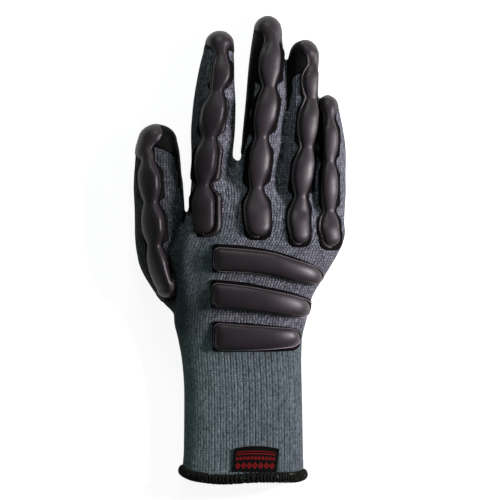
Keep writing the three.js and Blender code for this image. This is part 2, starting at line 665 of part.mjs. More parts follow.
// The hem wraps the mouth of the cuff, outside and inside.
function hemRing() {
  const path = bodyRings(CUFF, HEM.steps, -KNIT_WALL / 2).at(-1);
  const angles = bodyAngles(HEM.steps);
  const middle = CUFF.at(-1).top / 2;
  const rings = path.map((point, k) => {
    const before = path.at(k - 1);
    const after = path[(k + 1) % path.length];
    const along = after.clone().sub(before);
    const out = new THREE.Vector3().crossVectors(along, new THREE.Vector3(0, 1, 0)).normalize();
    if (out.dot(point.clone().sub(new THREE.Vector3(0, point.y, middle))) < 0) out.negate();
    const droop = drooping(angles[k]) / (DROOP.back + DROOP.depth);
    const width = mix(HEM.width, HEM.drooped, droop) / 2;
    return Array.from({ length: HEM.sides }, (_, s) => {
      const angle = (2 * Math.PI * (s + 0.5)) / HEM.sides;
      const reach = Math.cos(angle) > 0 ? HEM.outside : HEM.inside;
      const sideways = Math.cos(angle) * (reach + KNIT_WALL / 2);
      const spot = point.clone().addScaledVector(out, sideways);
      spot.y += Math.sin(angle) * width - HEM.below;
      return spot.setZ(Math.max(spot.z, 0));
    });
  });
  const inside = cuff(-KNIT_WALL - GAP, INNER_BODY_SIDES, 0, MOUTH_CUT);
  const slot = cuff(RIB_DEPTH + GAP, PLAIN_CUFF_SIDES, 0, 3 * GAP).subtract(inside);
  return tidied(skin(rings, true).subtract(slot));
}

function labelSheet() {
  const { thickness, lowest, highest } = LABEL;
  const corners = (z) => LABEL_OUTLINE.map(({ x, y }) => new THREE.Vector3(x, y, z));
  const prism = skin([corners(lowest), corners(highest)]);
  const under = cuff(RIB_DEPTH + GAP, PALM_SIDES);
  return tidied(cuff(RIB_DEPTH + GAP + thickness, PALM_SIDES).intersect(prism).subtract(under));
}

function piece(name, manifold, { color, roughness }) {
  const material = new THREE.MeshStandardMaterial({ color, roughness, metalness: 0 });
  const mesh = new THREE.Mesh(geometryOf(manifold), material);
  mesh.name = name;
  return mesh;
}

const knitYarn = { color: 0x6d7377, roughness: 0.95 };
const dippedFoam = { color: 0x1d2022, roughness: 0.85 };
const mouldedRubber = { color: 0x3a3438, roughness: 0.55 };
const hemYarn = { color: 0x23241f, roughness: 0.95 };
const wovenLabel = { color: 0x1a1c1b, roughness: 0.9 };

const glove = new THREE.Group();
glove.add(piece("knit_shell", knit, knitYarn));
glove.add(piece("palm_coating", coating, dippedFoam));
for (const name of Object.keys(GUARDS)) {
  glove.add(piece(`${name}_guard`, guard(name), mouldedRubber));
}
for (const [name, rows] of Object.entries(BARS)) {
  glove.add(piece(`${name}_bar`, bar(rows), mouldedRubber));
}
glove.add(piece("cuff_hem", hemRing(), hemYarn));
glove.add(piece("cuff_label", labelSheet(), wovenLabel));

// The origin is under the middle of the glove, on the surface that it lies on.
const box = new THREE.Box3().setFromObject(glove);
const centre = box.getCenter(new THREE.Vector3());
glove.children.forEach((mesh) => mesh.geometry.translate(-centre.x, -centre.y, -box.min.z));

export default glove;
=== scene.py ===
"""Looks of an impact glove: a knitted shell, a dipped palm, moulded rubber guards, an overlocked
hem and a woven label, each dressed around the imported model. Tables and shapes are in millimetres
and go into the frame, in metres, when a piece is finished."""

import functools
import math
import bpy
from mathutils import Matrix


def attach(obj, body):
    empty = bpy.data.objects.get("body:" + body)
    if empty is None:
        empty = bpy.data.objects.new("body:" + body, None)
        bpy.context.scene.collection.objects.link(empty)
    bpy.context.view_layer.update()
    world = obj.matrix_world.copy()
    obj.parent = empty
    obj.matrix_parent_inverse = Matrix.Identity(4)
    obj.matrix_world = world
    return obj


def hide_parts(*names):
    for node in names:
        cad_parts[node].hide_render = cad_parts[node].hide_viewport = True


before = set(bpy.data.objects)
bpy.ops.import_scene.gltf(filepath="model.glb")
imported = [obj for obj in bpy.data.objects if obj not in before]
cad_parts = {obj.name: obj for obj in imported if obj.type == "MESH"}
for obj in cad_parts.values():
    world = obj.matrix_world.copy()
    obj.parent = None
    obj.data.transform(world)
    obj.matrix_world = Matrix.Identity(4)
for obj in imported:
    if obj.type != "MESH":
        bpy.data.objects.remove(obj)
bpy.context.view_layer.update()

from types import SimpleNamespace

import bmesh
import bpy
import numpy as np
from mathutils import Matrix, Vector
from mathutils.bvhtree import BVHTree
from mathutils.kdtree import KDTree

bl_info = {
    "name": "Impact glove",
    "version": (1, 0, 0),
    "blender": (4, 5, 0),
    "location": "View3D > Sidebar > Glove",
    "description": "Models the knitted shell, dipped palm, rubber guards, hem and label of a work glove",
    "category": "Object",
}

# Millimetres to metres, with the small shift that centres the glove in the frame
TO_FRAME = Matrix.Scale(0.001, 4) @ Matrix.Translation((0.119, -0.183, 0))

KNIT_WALL = 1.6
# Where ovals would end below if they weren't flattened, the same at a finger's buried root, and how
# high they are cut flat
UNDERSIDE = -1.2
ROOT_UNDERSIDE = 6
FLAT = 0.9
# Share of an oval's height at which it is widest, and how square ovals are (2 is round)
WAIST = 0.45
FINGER_FULLNESS = 2.2
BODY_FULLNESS = 2.5
# How many sections the body has, how far apart a finger's are, the turns of those on its round tip,
# and how many points lie round a section of either
BODY_SECTIONS = 90
FINGER_STEP = 3
TIP_TURNS = (14, 28, 42, 55, 67, 77, 84)
BODY_SIDES = 72
FINGER_SIDES = 40
# How fine the even skins are that join the parts of the hand and of a guard
HAND_VOXEL = 1.35
GUARD_VOXEL = 0.42
# Above everything, where a search for the back starts, and a height inside the hand
SKY_HEIGHT = 80
INSIDE_HEIGHT = 9

# Sections of each finger: x and y of the middle, half the width, height of the back
FINGERS = {
    "index": [
        (-17.6, 22, 12, 29), (-17.1, 57, 12.5, 26), (-16.5, 72, 13.3, 25), (-15.7, 86, 12.9, 24),
        (-15, 100, 11.5, 22), (-13.6, 114, 9.9, 19), (-12.6, 122, 8.3, 17),
    ],
    "middle": [
        (10.4, 20, 12, 31), (11.8, 54, 11.6, 28), (13.6, 66, 12.2, 27), (14.8, 80, 12, 26),
        (15.6, 94, 11.5, 24), (15.9, 108, 10.7, 21), (16.2, 122, 9.3, 19), (16.3, 130, 8.1, 17),
    ],
    "ring": [
        (34.6, 14, 10.6, 29), (34, 46, 10, 27), (35, 56, 9.6, 26), (36.4, 66, 9.3, 25),
        (36.9, 80, 9, 23), (37.2, 108, 8.6, 18), (38, 116, 8.4, 16.5),
    ],
    "little": [
        (51.6, 6, 10, 25), (53.4, 34, 9.9, 23), (54.4, 46, 8.8, 22), (55.2, 58, 8.2, 20),
        (54.2, 72, 7.3, 18), (52.7, 83.6, 6.3, 15),
    ],
    "thumb": [
        (-33, -39, 5, 14), (-38.6, -26, 10, 20), (-43.2, -15, 12.8, 22), (-47.4, -3, 14.3, 23),
        (-49, 12, 14.3, 24), (-48.6, 25, 14.8, 24), (-49.4, 36, 14.7, 23), (-49.8, 48, 13.7, 22),
        (-49.9, 60, 12.6, 19), (-49.7, 65.5, 11.1, 17),
    ],
}
# How far each fingertip reaches beyond its last section, and how much of the section's height the
# dip climbs on its left, on its right and at the tip
TIPS = {
    "index": (8.7, 0.3, 0.26, 0.72),
    "middle": (9.6, 0.6, 0.28, 0.86),
    "ring": (9.5, 0.5, 0.28, 0.86),
    "little": (8.5, 0.5, 0.28, 0.8),
    "thumb": (9.2, 0.3, 0.36, 0.8),
}
# Where the dip laps onto the back of a finger: the bare knit's left edge, y and its right edge
LAPS = {
    "index": [(-40, 10, 10), (-40, 112, 10), (-40, 118, -4), (-12, 121, -10)],
    "middle": [
        (-20, 40, 40), (-14, 50, 40), (-1.5, 56, 40), (3.2, 60, 40), (5.2, 70, 40), (6.8, 84, 40),
        (8.4, 96, 40), (10, 103, 40), (17, 107, 40), (18, 128, 40),
    ],
    "ring": [
        (20, 30, 60), (25, 66, 60), (27.4, 80, 60), (30.2, 90, 60), (30.6, 99, 60), (32.6, 104, 60),
        (44, 108, 60),
    ],
    "little": [(40, 30, 80), (46, 56, 80), (48.8, 66, 80), (52, 75, 80), (53, 82, 80)],
    "thumb": [
        (-80, -20, -20), (-80, 12, -33), (-80, 28, -34.9), (-80, 38, -36.4), (-80, 46, -38.4),
        (-80, 52, -39.6), (-80, 58, -42), (-80, 61, -50), (-80, 63, -60),
    ],
}
# Sections of the hand and cuff: x and y of both ends, height of the back, height of the flat
# underside, and the share of the section's height that the dip climbs
BODY = [
    (-25, 66, 52, 22.5, 14, 0.9, 0.4), (-27, 57, 58, 18.5, 20, 0.9, 0.38),
    (-29, 46, 62, 15.5, 26.5, 0.9, 0.34), (-30.3, 33, 63, 11.5, 31.5, 0.9, 0.3),
    (-32.7, 15, 61.8, 5, 34, 0.9, 0.3), (-39, -1, 58.4, -2.5, 35, 0.9, 0.3),
    (-39.9, -16, 50.4, -16, 34, 0.9, 0.3), (-39.6, -30, 42.8, -29, 32, 0.9, 0.28),
    (-40, -42, 39.7, -42, 28.8, 0.9, 0.12), (-37.5, -54, 37, -54, 26.5, 0, -1),
    (-35.1, -68, 36.6, -68, 25, 0, -1), (-33.9, -88, 37.1, -88, 24, 0, -1),
    (-34.2, -121, 37.7, -122, 22.5, 0.6, -1), (-35, -131.2, 38, -133.6, 22, 1.6, -1),
    (-35.2, -142, 38.2, -144, 22, 1.6, -1),
]
# The cuff's mouth: a slanting line through x and y, and how its back hangs down: everywhere, more at
# one place across the oval, over what spread, and from what height on its side
MOUTH = SimpleNamespace(x=1.5, y=-132.4, slope=0.033)
DROOP = SimpleNamespace(back=1.6, depth=2.4, at=-0.4, spread=0.5, side=0.7)
# Waves in the dip's edge: height, and turn per millimetre across and along the hand, and its start
RIPPLES = [(0.4, 0.2, 0.31, 0), (0.2, 0, 0.7, 0.7), (0.2, 0.6, 0, 0)]
# Where the dip ends towards the cuff, how thick it is at its edge and how much more inside
DIP_END = -38
DIP_EDGE = 0.3
DIP_BODY = 0.35
# Where the cap's edge crosses each fingertip: x, y and half the width of what it covers
CAPS = {
    "index": [
        (-12, 137, 16), (-12, 126, 13), (-12.2, 123, 9.2), (-12.6, 121.2, 5.9), (-12.3, 119.4, 3.9),
        (-12.3, 116, 2.8),
    ],
    "middle": [
        (16, 147, 16), (16.4, 135, 13), (17.6, 131.4, 9), (19.3, 128.2, 5.8), (19.6, 126, 4.6),
        (19.4, 123, 4),
    ],
    "ring": [
        (44, 134, 8.3), (44, 126, 8.3), (43, 120.4, 7), (43.4, 117, 5.7), (44.2, 114.4, 4),
        (43.7, 111, 2.8),
    ],
    "little": [
        (53, 99, 12), (53, 89, 9), (52.8, 86.3, 6.2), (53.3, 83.3, 4.7), (53.5, 80.7, 3),
        (53.2, 78, 2.4),
    ],
    "thumb": [
        (-57, 82, 10), (-57, 73.4, 9.5), (-56.5, 69.4, 9.9), (-57.5, 65.3, 9.3), (-59, 62, 7.5),
        (-59.2, 60, 6.3), (-58.4, 56.5, 4.6), (-56.9, 53.5, 3.2),
    ],
}
# Lobes and necks of each guard: x, y, half the width, rise above the knit, lean in degrees, and how
# far the base reaches beyond the pad on the thumb's side and on the other
# On the middle, ring and little fingers the base reaches further on the thumb's side than the real one,
# partly a dark sheet standing in for the shade beside the lobes
BEADS = {
    "index": [
        (-12, 124, 3.4, 2.9, 0, 1.2, 0.6), (-11.5, 117.2, 2.8, 3, 0, 1, 0.5),
        (-11.4, 105, 5.2, 4.6, -4, 1.2, 1.8), (-14.1, 95, 3, 3, -8, 1, 0.9),
        (-16.8, 80.5, 6.8, 5, -12, 1.2, 2.4), (-18.9, 67, 3.3, 3, -18, 1, 2.1),
        (-21.5, 53, 6.5, 5, -20, 1.2, 4.3), (-22.4, 38.5, 3, 3, -18, 1, 3.2),
        (-22.7, 25.5, 6.8, 4.8, -16, 1.2, 5.4), (-22.4, 16, 6.6, 4.8, -16, 1.2, 5.6),
    ],
    "middle": [
        (18.8, 132, 4.2, 2.9, 8, 1.5, 0.8), (19.2, 125, 3.7, 3, 10, 1.5, 0.8),
        (18.1, 111, 6.1, 4.8, 12, 2.6, 1.5), (17.5, 97.3, 3.2, 3, 12, 2.6, 0.9),
        (15.6, 82, 6.3, 5, 12, 2.6, 1.5), (12.8, 67, 2.9, 3, 12, 2.6, 0.9),
        (11.5, 51.5, 6.3, 5, 12, 2.6, 1.5), (9.8, 36.6, 3, 3, 12, 2.6, 0.9),
        (10.7, 21, 7.1, 5, 12, 3.2, 1.3), (11.2, 14.5, 6.7, 5, 12, 3.2, 1.3),
    ],
    "ring": [
        (43.6, 119, 3.2, 2.9, 12, 1.6, 0.8), (43.8, 111.6, 2.7, 3, 14, 1.8, 0.8),
        (42.5, 101.2, 4.5, 4.4, 18, 2.8, 1.2), (42.6, 90.6, 3.1, 3, 18, 2.8, 0.9),
        (41.2, 76, 5.6, 5, 18, 2.8, 1.3), (40.2, 61.4, 3.2, 3, 18, 2.8, 0.9),
        (38.2, 46.5, 6, 5, 18, 2.8, 1.3), (36.6, 31.8, 2.8, 3, 18, 2.8, 0.9),
        (35.4, 17.5, 5.9, 4.8, 20, 3.4, 1.3), (36.2, 9.5, 5.4, 4.8, 20, 3.4, 1.3),
    ],
    "little": [
        (53, 86, 3, 2.7, 8, 1.4, 0.8), (53.5, 78.8, 2.4, 2.8, 12, 1.6, 0.8),
        (54.2, 66, 4.5, 4.4, 16, 2.2, 1.2), (53.4, 52.3, 2.7, 2.8, 18, 2.2, 0.8),
        (53.6, 38.7, 4.9, 4.8, 20, 2.2, 1.2), (53.5, 23, 2.7, 2.8, 20, 2.2, 0.8),
        (53.6, 13, 5.6, 4.8, 20, 3, 1.2), (54.6, 7.4, 5.2, 4.8, 20, 3, 1.2),
    ],
    "thumb": [
        (-56.8, 61, 4, 2.6, -24, 1, 1), (-56, 54, 3.6, 3, -30, 1, 1.6),
        (-55.3, 41, 6.9, 4.8, -34, 1, 3.7), (-54.2, 28.2, 4.2, 3, -34, 1, 2.7),
        (-53.1, 14.5, 7.3, 5, -36, 1, 3.7), (-52.2, 2.5, 4.6, 3, -38, 1, 2.6),
        (-49.9, -10.8, 6.8, 4.8, -40, 1, 4.2), (-47.3, -19, 6.6, 4.8, -40, 1, 3.4),
        (-45.2, -24, 5.8, 4.6, -40, 1, 3.2),
    ],
}
# How far each guard's pad reaches beyond its last lobe, towards the wrist
BEAD_ENDS = {"index": 6, "middle": 6.4, "ring": 5.6, "little": 5.2, "thumb": 4.6}
# Share of the ridge round the foot of the lobes that stands up, and of the highlight painted along
# it, on the thumb's side and on the other, and how much a wide base swells on that other side
RIDGES = {
    "index": (0.7, 0, 0.7), "middle": (1, 0, 0), "ring": (1, 0, 0), "little": (1, 0, 0),
    "thumb": (0.4, 0, 0.12),
}
# Cuts across each bar: x, both edges of the pillow, both edges of its base, rise and lean
BARS = {
    "upper": [
        (-15.2, -12.2, 0.5, -13.6, 3.4, 4.6, -4), (3, -12.9, -0.9, -14, 2, 5, 0),
        (18, -14.7, -2.7, -15.8, -0.3, 5, 6), (33, -18.4, -6.9, -19.4, -4.5, 4.8, 14),
        (44.5, -20.7, -10.2, -21.6, -8.8, 4.4, 26), (48.6, -21.4, -12, -22, -10.6, 4, 34),
    ],
    "middle": [
        (-16.2, -33.7, -20.4, -35.2, -17.8, 4.6, -4), (3, -35.6, -22.4, -36.8, -19.4, 5, 0),
        (18, -37.4, -24.9, -38.6, -22.2, 5, 6), (31, -39.4, -27.4, -40.6, -24.9, 4.8, 14),
        (38, -40.1, -29.4, -41.2, -27.4, 4.6, 22), (41.3, -40.2, -30.4, -41.2, -28.6, 4, 28),
    ],
    "lower": [
        (-15.2, -59.2, -44.1, -60.9, -42.3, 4.6, -4), (3, -59.4, -45.6, -60.9, -43.4, 5, 0),
        (18, -58.8, -46.6, -60.9, -44.8, 5, 6), (30.5, -57.6, -47.6, -60.6, -46.2, 4.6, 16),
        (35.4, -57, -48.4, -60, -47, 4, 24),
    ],
}
# The edge of the back of the hand where it stands over the thumb: x, y and its height
FOLD = [
    (-31.5, 26, 0), (-32.4, 22, 1.4), (-34.5, 14.7, 2.8), (-37.5, 5.7, 3.4), (-39.9, -0.3, 3.4),
    (-40.5, -7.5, 3), (-38.9, -18.3, 2.4), (-38.2, -27.9, 1.6), (-37.3, -38, 0),
]
# Half the width of the fold's lip, where it runs out into the back, and the trough beside it
FOLD_LIP = 0.9
FOLD_RUN = (2, 15)
FOLD_TROUGH = SimpleNamespace(depth=0.7, start=-6, end=-1)
# Short creases where the knit gives way: both ends, depth and half the width
CREASES = [(1.5, 57, -5.5, 49, 1.2, 1.3)]
# The hem's height and how much of it the droop takes, its reach outside and inside the knit's wall,
# and how far its middle lies past the mouth
HEM = SimpleNamespace(height=7.4, less=0.6, outside=2.6, inside=1.0, past=0.8)
# The rolled core under the hem's yarn: points round it and how far inside the hem's outside it lies
CORE = SimpleNamespace(points=14, inset=0.75)
# The yarn round it: points along a wrap, its middle's inset, a place further out that gives its
# direction, turns per thickness of yarn, lean along the mouth, and how much it is flattened
WRAP = SimpleNamespace(points=18, inset=0.55, out=0.45, pitch=1.15, lean=1.6, flat=0.8)
# Turns round the yarn's own section, and how many points are taken along the mouth
YARN_SIDES = (0, 1.05, 2.09, 3.14, 4.19, 5.24)
MOUTH_POINTS = 240
# The label's left and right edges, x and y at the top and at the hem, its flat size and bowed top
LABEL_EDGES = {"left": (-3.9, -118.8, -5.1, -132.6), "right": (23.1, -119.1, 21.9, -132.6)}
LABEL = SimpleNamespace(width=27, height=14.5, bow=6.6, thick=0.3)


def linear(code):
    """An sRGB hex colour as linear red, green, blue and alpha."""
    parts = [int(code[i:i + 2], 16) / 255 for i in (1, 3, 5)]
    return tuple(p / 12.92 if p <= 0.04045 else ((p + 0.055) / 1.055) ** 2.4 for p in parts) + (1,)


def step(low, high, value):
    """0 below low, 1 above high and a smooth rise between them"""
    t = np.clip((value - low) / (high - low), 0, 1)
    return t * t * (3 - 2 * t)


def smooth(rows, column, at, key=1):
    """A column of a table at some place along it, on a curve that never overshoots its rows."""
    rows = sorted(rows, key=lambda row: row[key])
    x = np.array([row[key] for row in rows], float)
    y = np.array([row[column] for row in rows], float)
    secant = np.diff(y) / np.diff(x)
    inner = np.where(
        secant[:-1] * secant[1:] > 0,
        2 * secant[:-1] * secant[1:] / (secant[:-1] + secant[1:] + 1e-12),
        0,
    )
    slope = np.concatenate([secant[:1], inner, secant[-1:]])
    i = np.clip(np.searchsorted(x, at) - 1, 0, len(x) - 2)
    h = x[i + 1] - x[i]
    t = np.clip((at - x[i]) / h, 0, 1)
    rise = t * t * (3 - 2 * t)
    bend = t * (1 - t) ** 2 * slope[i] - t * t * (1 - t) * slope[i + 1]
    return (1 - rise) * y[i] + rise * y[i + 1] + h * bend


def between(rows, column, at):
    """A column's values in the rows on both sides of a place, and the share of the way to the second"""
    upper = max(k for k in range(len(rows) - 1) if rows[k][1] >= at or k == 0)
    start, end = rows[upper], rows[upper + 1]
    return start[column], end[column], min(1, max(0, (at - start[1]) / (end[1] - start[1])))


def beaded(rows, column, at):
    """A column of a string of lobes at some place along it: full at a lobe, pinched at a neck"""
    start, end, share = between(rows, column, at)
    low, high = sorted((start, end))
    share = share if end > start else 1 - share
    return low + (high - low) * float(step(0, 1, min(1, share / 0.87) ** 0.75))


def squared(rows, column, at):
    """The same for a base, which is wide from early in each lobe to late, where it ends squarely"""
    start, end, share = between(rows, column, at)
    rise = step(0, 0.6, share) if end > start else step(0.72, 0.98, share)
    return start + (end - start) * float(rise)


def signed_power(value, power):
    return np.sign(value) * np.abs(value) ** power


class Ovals:
    """Oval sections close together along a finger, or along the hand and cuff"""

    def __init__(self, middles, acrosses, halves, tops, bottoms, rests, fullness):
        order = np.argsort([m[1] for m in middles])
        self.middle = np.array(middles, float)[order]
        self.across = np.array(acrosses, float)[order]
        self.half = np.array(halves, float)[order]
        self.top = np.array(tops, float)[order]
        self.bottom = np.array(bottoms, float)[order]
        self.rest = np.array(rests, float)[order]
        self.fullness = fullness
        self.waist = self.bottom + WAIST * (self.top - self.bottom)

    def ring(self, k, sides, grow=0.0):
        """Points round section k, moved outwards by grow"""
        turn = np.linspace(0, 2 * np.pi, sides, endpoint=False)
        side = signed_power(np.cos(turn), 2 / self.fullness)
        up = signed_power(np.sin(turn), 2 / self.fullness)
        reach = np.where(up > 0, self.top[k] - self.waist[k], self.waist[k] - self.bottom[k]) + grow
        flat = self.middle[k] + np.outer(side * (self.half[k] + grow), self.across[k])
        height = np.maximum(self.waist[k] + up * reach, self.rest[k] - grow)
        return np.column_stack([flat, height])

    def locate(self, points):
        """Where points lie: side and up are 1 at the section's side and top, way is the distance
        round its skin from the top, positive towards the little finger, half and top are the
        section's own, and off is how far they miss the part. Lengths are in millimetres."""
        slope = self.across[:, 1] / self.across[:, 0]
        line = self.middle[:, 1] + (points[:, :1] - self.middle[:, 0]) * slope
        k = np.clip((line < points[:, 1:2]).sum(1) - 1, 0, len(self.half) - 2)
        each = np.arange(len(points))
        share = np.clip((points[:, 1] - line[each, k]) / (line[each, k + 1] - line[each, k]), 0, 1)

        def at(values):
            weight = share.reshape((-1,) + (1,) * (values.ndim - 1))
            return values[k] * (1 - weight) + values[k + 1] * weight

        half, top, bottom, waist = at(self.half), at(self.top), at(self.bottom), at(self.waist)
        side = ((points[:, :2] - at(self.middle)) * at(self.across)).sum(1) / half
        up = (points[:, 2] - waist) / np.where(points[:, 2] > waist, top - waist, waist - bottom)
        n = self.fullness
        out = (np.abs(side) ** n + np.abs(up) ** n) ** (1 / n)
        turn = np.arctan2(np.abs(side) ** (n / 2), signed_power(up, n / 2))
        steps = np.linspace(0, 1, 25)[None, :] * turn[:, None]
        x = np.sin(steps) ** (2 / n) * half[:, None]
        tall = np.where(np.cos(steps) > 0, (top - waist)[:, None], (waist - bottom)[:, None])
        y = signed_power(np.cos(steps), 2 / n) * tall
        way = np.hypot(np.diff(x, axis=1), np.diff(y, axis=1)).sum(1) * np.sign(side)
        beyond = np.maximum(points[:, 1] - line[each, -1], line[each, 0] - points[:, 1])
        off = np.abs(out - 1) * np.where(out > 1, 1, 0.3) * half + np.maximum(0, beyond)
        return SimpleNamespace(side=side, up=up, way=way, half=half, top=top, off=off)


@functools.lru_cache
def finger_ovals(name):
    rows, tip = FINGERS[name], TIPS[name][0]
    first, second, last = rows[0][1], rows[1][1], rows[-1][1]
    places = np.linspace(first, last, int((last - first) / FINGER_STEP) + 2)
    middles = [(float(smooth(rows, 0, y)), y) for y in places]
    alongs = np.gradient(np.array(middles), axis=0)
    acrosses = [(a[1] / math.hypot(*a), -a[0] / math.hypot(*a)) for a in alongs]
    halves = [float(smooth(rows, 2, y)) for y in places]
    tops = [float(smooth(rows, 3, y)) for y in places]
    buried = [float(step(0, 1, (second - y) / (second - first))) for y in places]
    bottoms = [UNDERSIDE + (ROOT_UNDERSIDE - UNDERSIDE) * b for b in buried]
    waist = UNDERSIDE + WAIST * (tops[-1] - UNDERSIDE)
    end, along = Vector(middles[-1]), Vector((-acrosses[-1][1], acrosses[-1][0]))
    for degrees in TIP_TURNS:
        turn = math.radians(degrees)
        middles.append(tuple(end + along * tip * math.sin(turn)))
        acrosses.append(acrosses[-1])
        halves.append(rows[-1][2] * math.cos(turn))
        tops.append(waist + (rows[-1][3] - waist) * math.cos(turn))
        bottoms.append(waist - (waist - UNDERSIDE) * math.cos(turn))
    return Ovals(middles, acrosses, halves, tops, bottoms, [FLAT] * len(middles), FINGER_FULLNESS)


@functools.lru_cache
def body_ovals():
    spans = np.linspace(0, len(BODY) - 1, BODY_SECTIONS)
    numbered = [row + (k,) for k, row in enumerate(BODY)]
    column = [smooth(numbered, c, spans, key=7) for c in range(7)]
    left, right = np.column_stack(column[0:2]), np.column_stack(column[2:4])
    width = np.linalg.norm(right - left, axis=1)
    across = (right - left) / width[:, None]
    bottoms = np.full(len(spans), UNDERSIDE)
    made = Ovals((left + right) / 2, across, width / 2, column[4], bottoms, column[5], BODY_FULLNESS)
    made.dip = column[6][::-1]
    return made


def drooping(side, up):
    """How far the back of the cuff's mouth hangs down, by the place on its oval"""
    lift = step(0, DROOP.side, signed_power(up, BODY_FULLNESS / 2))
    return lift * (DROOP.back + DROOP.depth * np.exp(-(((side - DROOP.at) / DROOP.spread) ** 2)))


def loft(bm, rings):
    """Draws a closed ring out into a skin, ring by ring, and returns the rings' vertices."""
    verts = bmesh.ops.create_circle(bm, segments=len(rings[0]), radius=1)["verts"]
    made, seen = [verts], set(verts)
    for ring in rings[1:]:
        edges = [bm.edges.get((verts[k - 1], verts[k])) for k in range(len(verts))]
        bmesh.ops.extrude_edge_only(bm, edges=edges)
        verts = [next(e.other_vert(v) for e in v.link_edges if e.other_vert(v) not in seen) for v in verts]
        seen.update(verts)
        made.append(verts)
    for verts, ring in zip(made, rings):
        for vert, place in zip(verts, ring):
            vert.co = place
    return made


def trim(bm, outside):
    """Cuts a skin along the line where outside(points) is 0, and keeps what is below 0."""
    bm.verts.index_update()
    value = outside(np.array([v.co for v in bm.verts]))
    moves = {}
    for edge in bm.edges:
        a, b = edge.verts
        if value[a.index] * value[b.index] < 0:
            share = value[a.index] / (value[a.index] - value[b.index])
            near, far, part = (a, b, share) if share < 0.5 else (b, a, 1 - share)
            if near not in moves or part < moves[near][0]:
                moves[near] = (part, near.co.lerp(far.co, part))
    for vert, (_, place) in moves.items():
        vert.co = place
        value[vert.index] = 0
    for face in list(bm.faces):
        kinds = [np.sign(value[v.index]) for v in face.verts]
        if 1 in kinds and -1 in kinds:
            on_line = [v for v, kind in zip(face.verts, kinds) if kind == 0]
            if len(on_line) == 2:
                bmesh.utils.face_split(face, on_line[0], on_line[1])
    gone = [f for f in bm.faces if sum(value[v.index] for v in f.verts) > 0]
    bmesh.ops.delete(bm, geom=gone, context="FACES")
    for _ in range(4):
        border = [v for v in bm.verts if v.is_boundary]
        besides = [[e.other_vert(v).co.copy() for e in v.link_edges if e.is_boundary] for v in border]
        for vert, beside in zip(border, besides):
            vert.co = vert.co * 0.5 + sum(beside, Vector()) * 0.5 / len(beside)


def thicken(bm, inner, outer):
    """Gives a skin a wall between inner and outer, both measured outwards from it. Inner is a number,
    and outer is one too or a function of the points and normals."""
    bm.normal_update()
    source = bm.verts.layers.int.new("source")
    for k, vert in enumerate(bm.verts):
        vert[source] = k
    places = np.array([v.co for v in bm.verts])
    normals = np.array([v.normal for v in bm.verts])
    far = outer(places, normals) if callable(outer) else np.full(len(places), outer)
    made = bmesh.ops.extrude_face_region(bm, geom=bm.faces[:], use_keep_orig=True)["geom"]
    drawn = {v for v in made if isinstance(v, bmesh.types.BMVert)}
    for vert in bm.verts:
        k = vert[source]
        vert.co = places[k] + normals[k] * (far[k] if vert in drawn else inner)
        vert.co.z = max(vert.co.z, 0)
    bm.verts.layers.int.remove(source)
    bmesh.ops.recalc_face_normals(bm, faces=bm.faces[:])


def placed(name, data):
    """An object in the scene with a mesh, a camera or a lamp in it"""
    made = bpy.data.objects.new(name, data)
    bpy.context.scene.collection.objects.link(made)
    return made


def smoothed(bm, verts, rounds):
    """Smooths some vertices of a mesh a number of times."""
    for _ in range(rounds):
        bmesh.ops.smooth_vert(bm, verts=verts, factor=0.5, use_axis_x=True, use_axis_y=True, use_axis_z=True)


def remeshed(bm, voxel, rounds):
    """Puts one even skin round everything in a mesh, and smooths it a number of times."""
    mesh = bpy.data.meshes.new("work")
    bm.to_mesh(mesh)
    work = placed("work", mesh)
    even = work.modifiers.new("even", "REMESH")
    even.mode, even.voxel_size = "VOXEL", voxel
    made = bpy.data.meshes.new_from_object(work.evaluated_get(bpy.context.evaluated_depsgraph_get()))
    bm.clear()
    bm.from_mesh(made)
    bpy.data.objects.remove(work)
    bpy.data.meshes.remove(mesh)
    bpy.data.meshes.remove(made)
    smoothed(bm, bm.verts[:], rounds)


@functools.lru_cache
def hand_form():
    """The outside of the knitted shell as one closed skin, and a tree to find places on it"""
    bm = bmesh.new()
    for ovals in [body_ovals()] + [finger_ovals(name) for name in FINGERS]:
        sides = BODY_SIDES if ovals is body_ovals() else FINGER_SIDES
        loft(bm, [ovals.ring(k, sides) for k in range(len(ovals.half))])
    bmesh.ops.holes_fill(bm, edges=[e for e in bm.edges if e.is_boundary], sides=0)
    bmesh.ops.recalc_face_normals(bm, faces=bm.faces[:])
    remeshed(bm, HAND_VOXEL, 4)
    bm.normal_update()
    return bm, BVHTree.FromBMesh(bm)


def on_back(x, y):
    """The place on the back of the hand under a point"""
    hit = hand_form()[1].ray_cast(Vector((x, y, SKY_HEIGHT)), Vector((0, 0, -1)))[0]
    return hit or hand_form()[1].find_nearest(Vector((x, y, INSIDE_HEIGHT)))[0]


def on_skin(point, height):
    """The nearest place on the hand's skin, raised by a height"""
    place, normal = hand_form()[1].find_nearest(Vector(point))[:2]
    return place + normal * height


def height_over(point):
    """How far a place is from the hand's skin"""
    return hand_form()[1].find_nearest(point)[3]


def finished(bm, name, material, node):
    """Makes a mesh a piece of the glove: into the frame, smooth, on its body, in place of its node."""
    bmesh.ops.recalc_face_normals(bm, faces=bm.faces[:])
    mesh = bpy.data.meshes.new(name)
    bm.to_mesh(mesh)
    bm.free()
    mesh.transform(TO_FRAME)
    mesh.shade_smooth()
    mesh.materials.append(material)
    piece = placed(name, mesh)
    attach(piece, "root")
    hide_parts(node)
    return piece


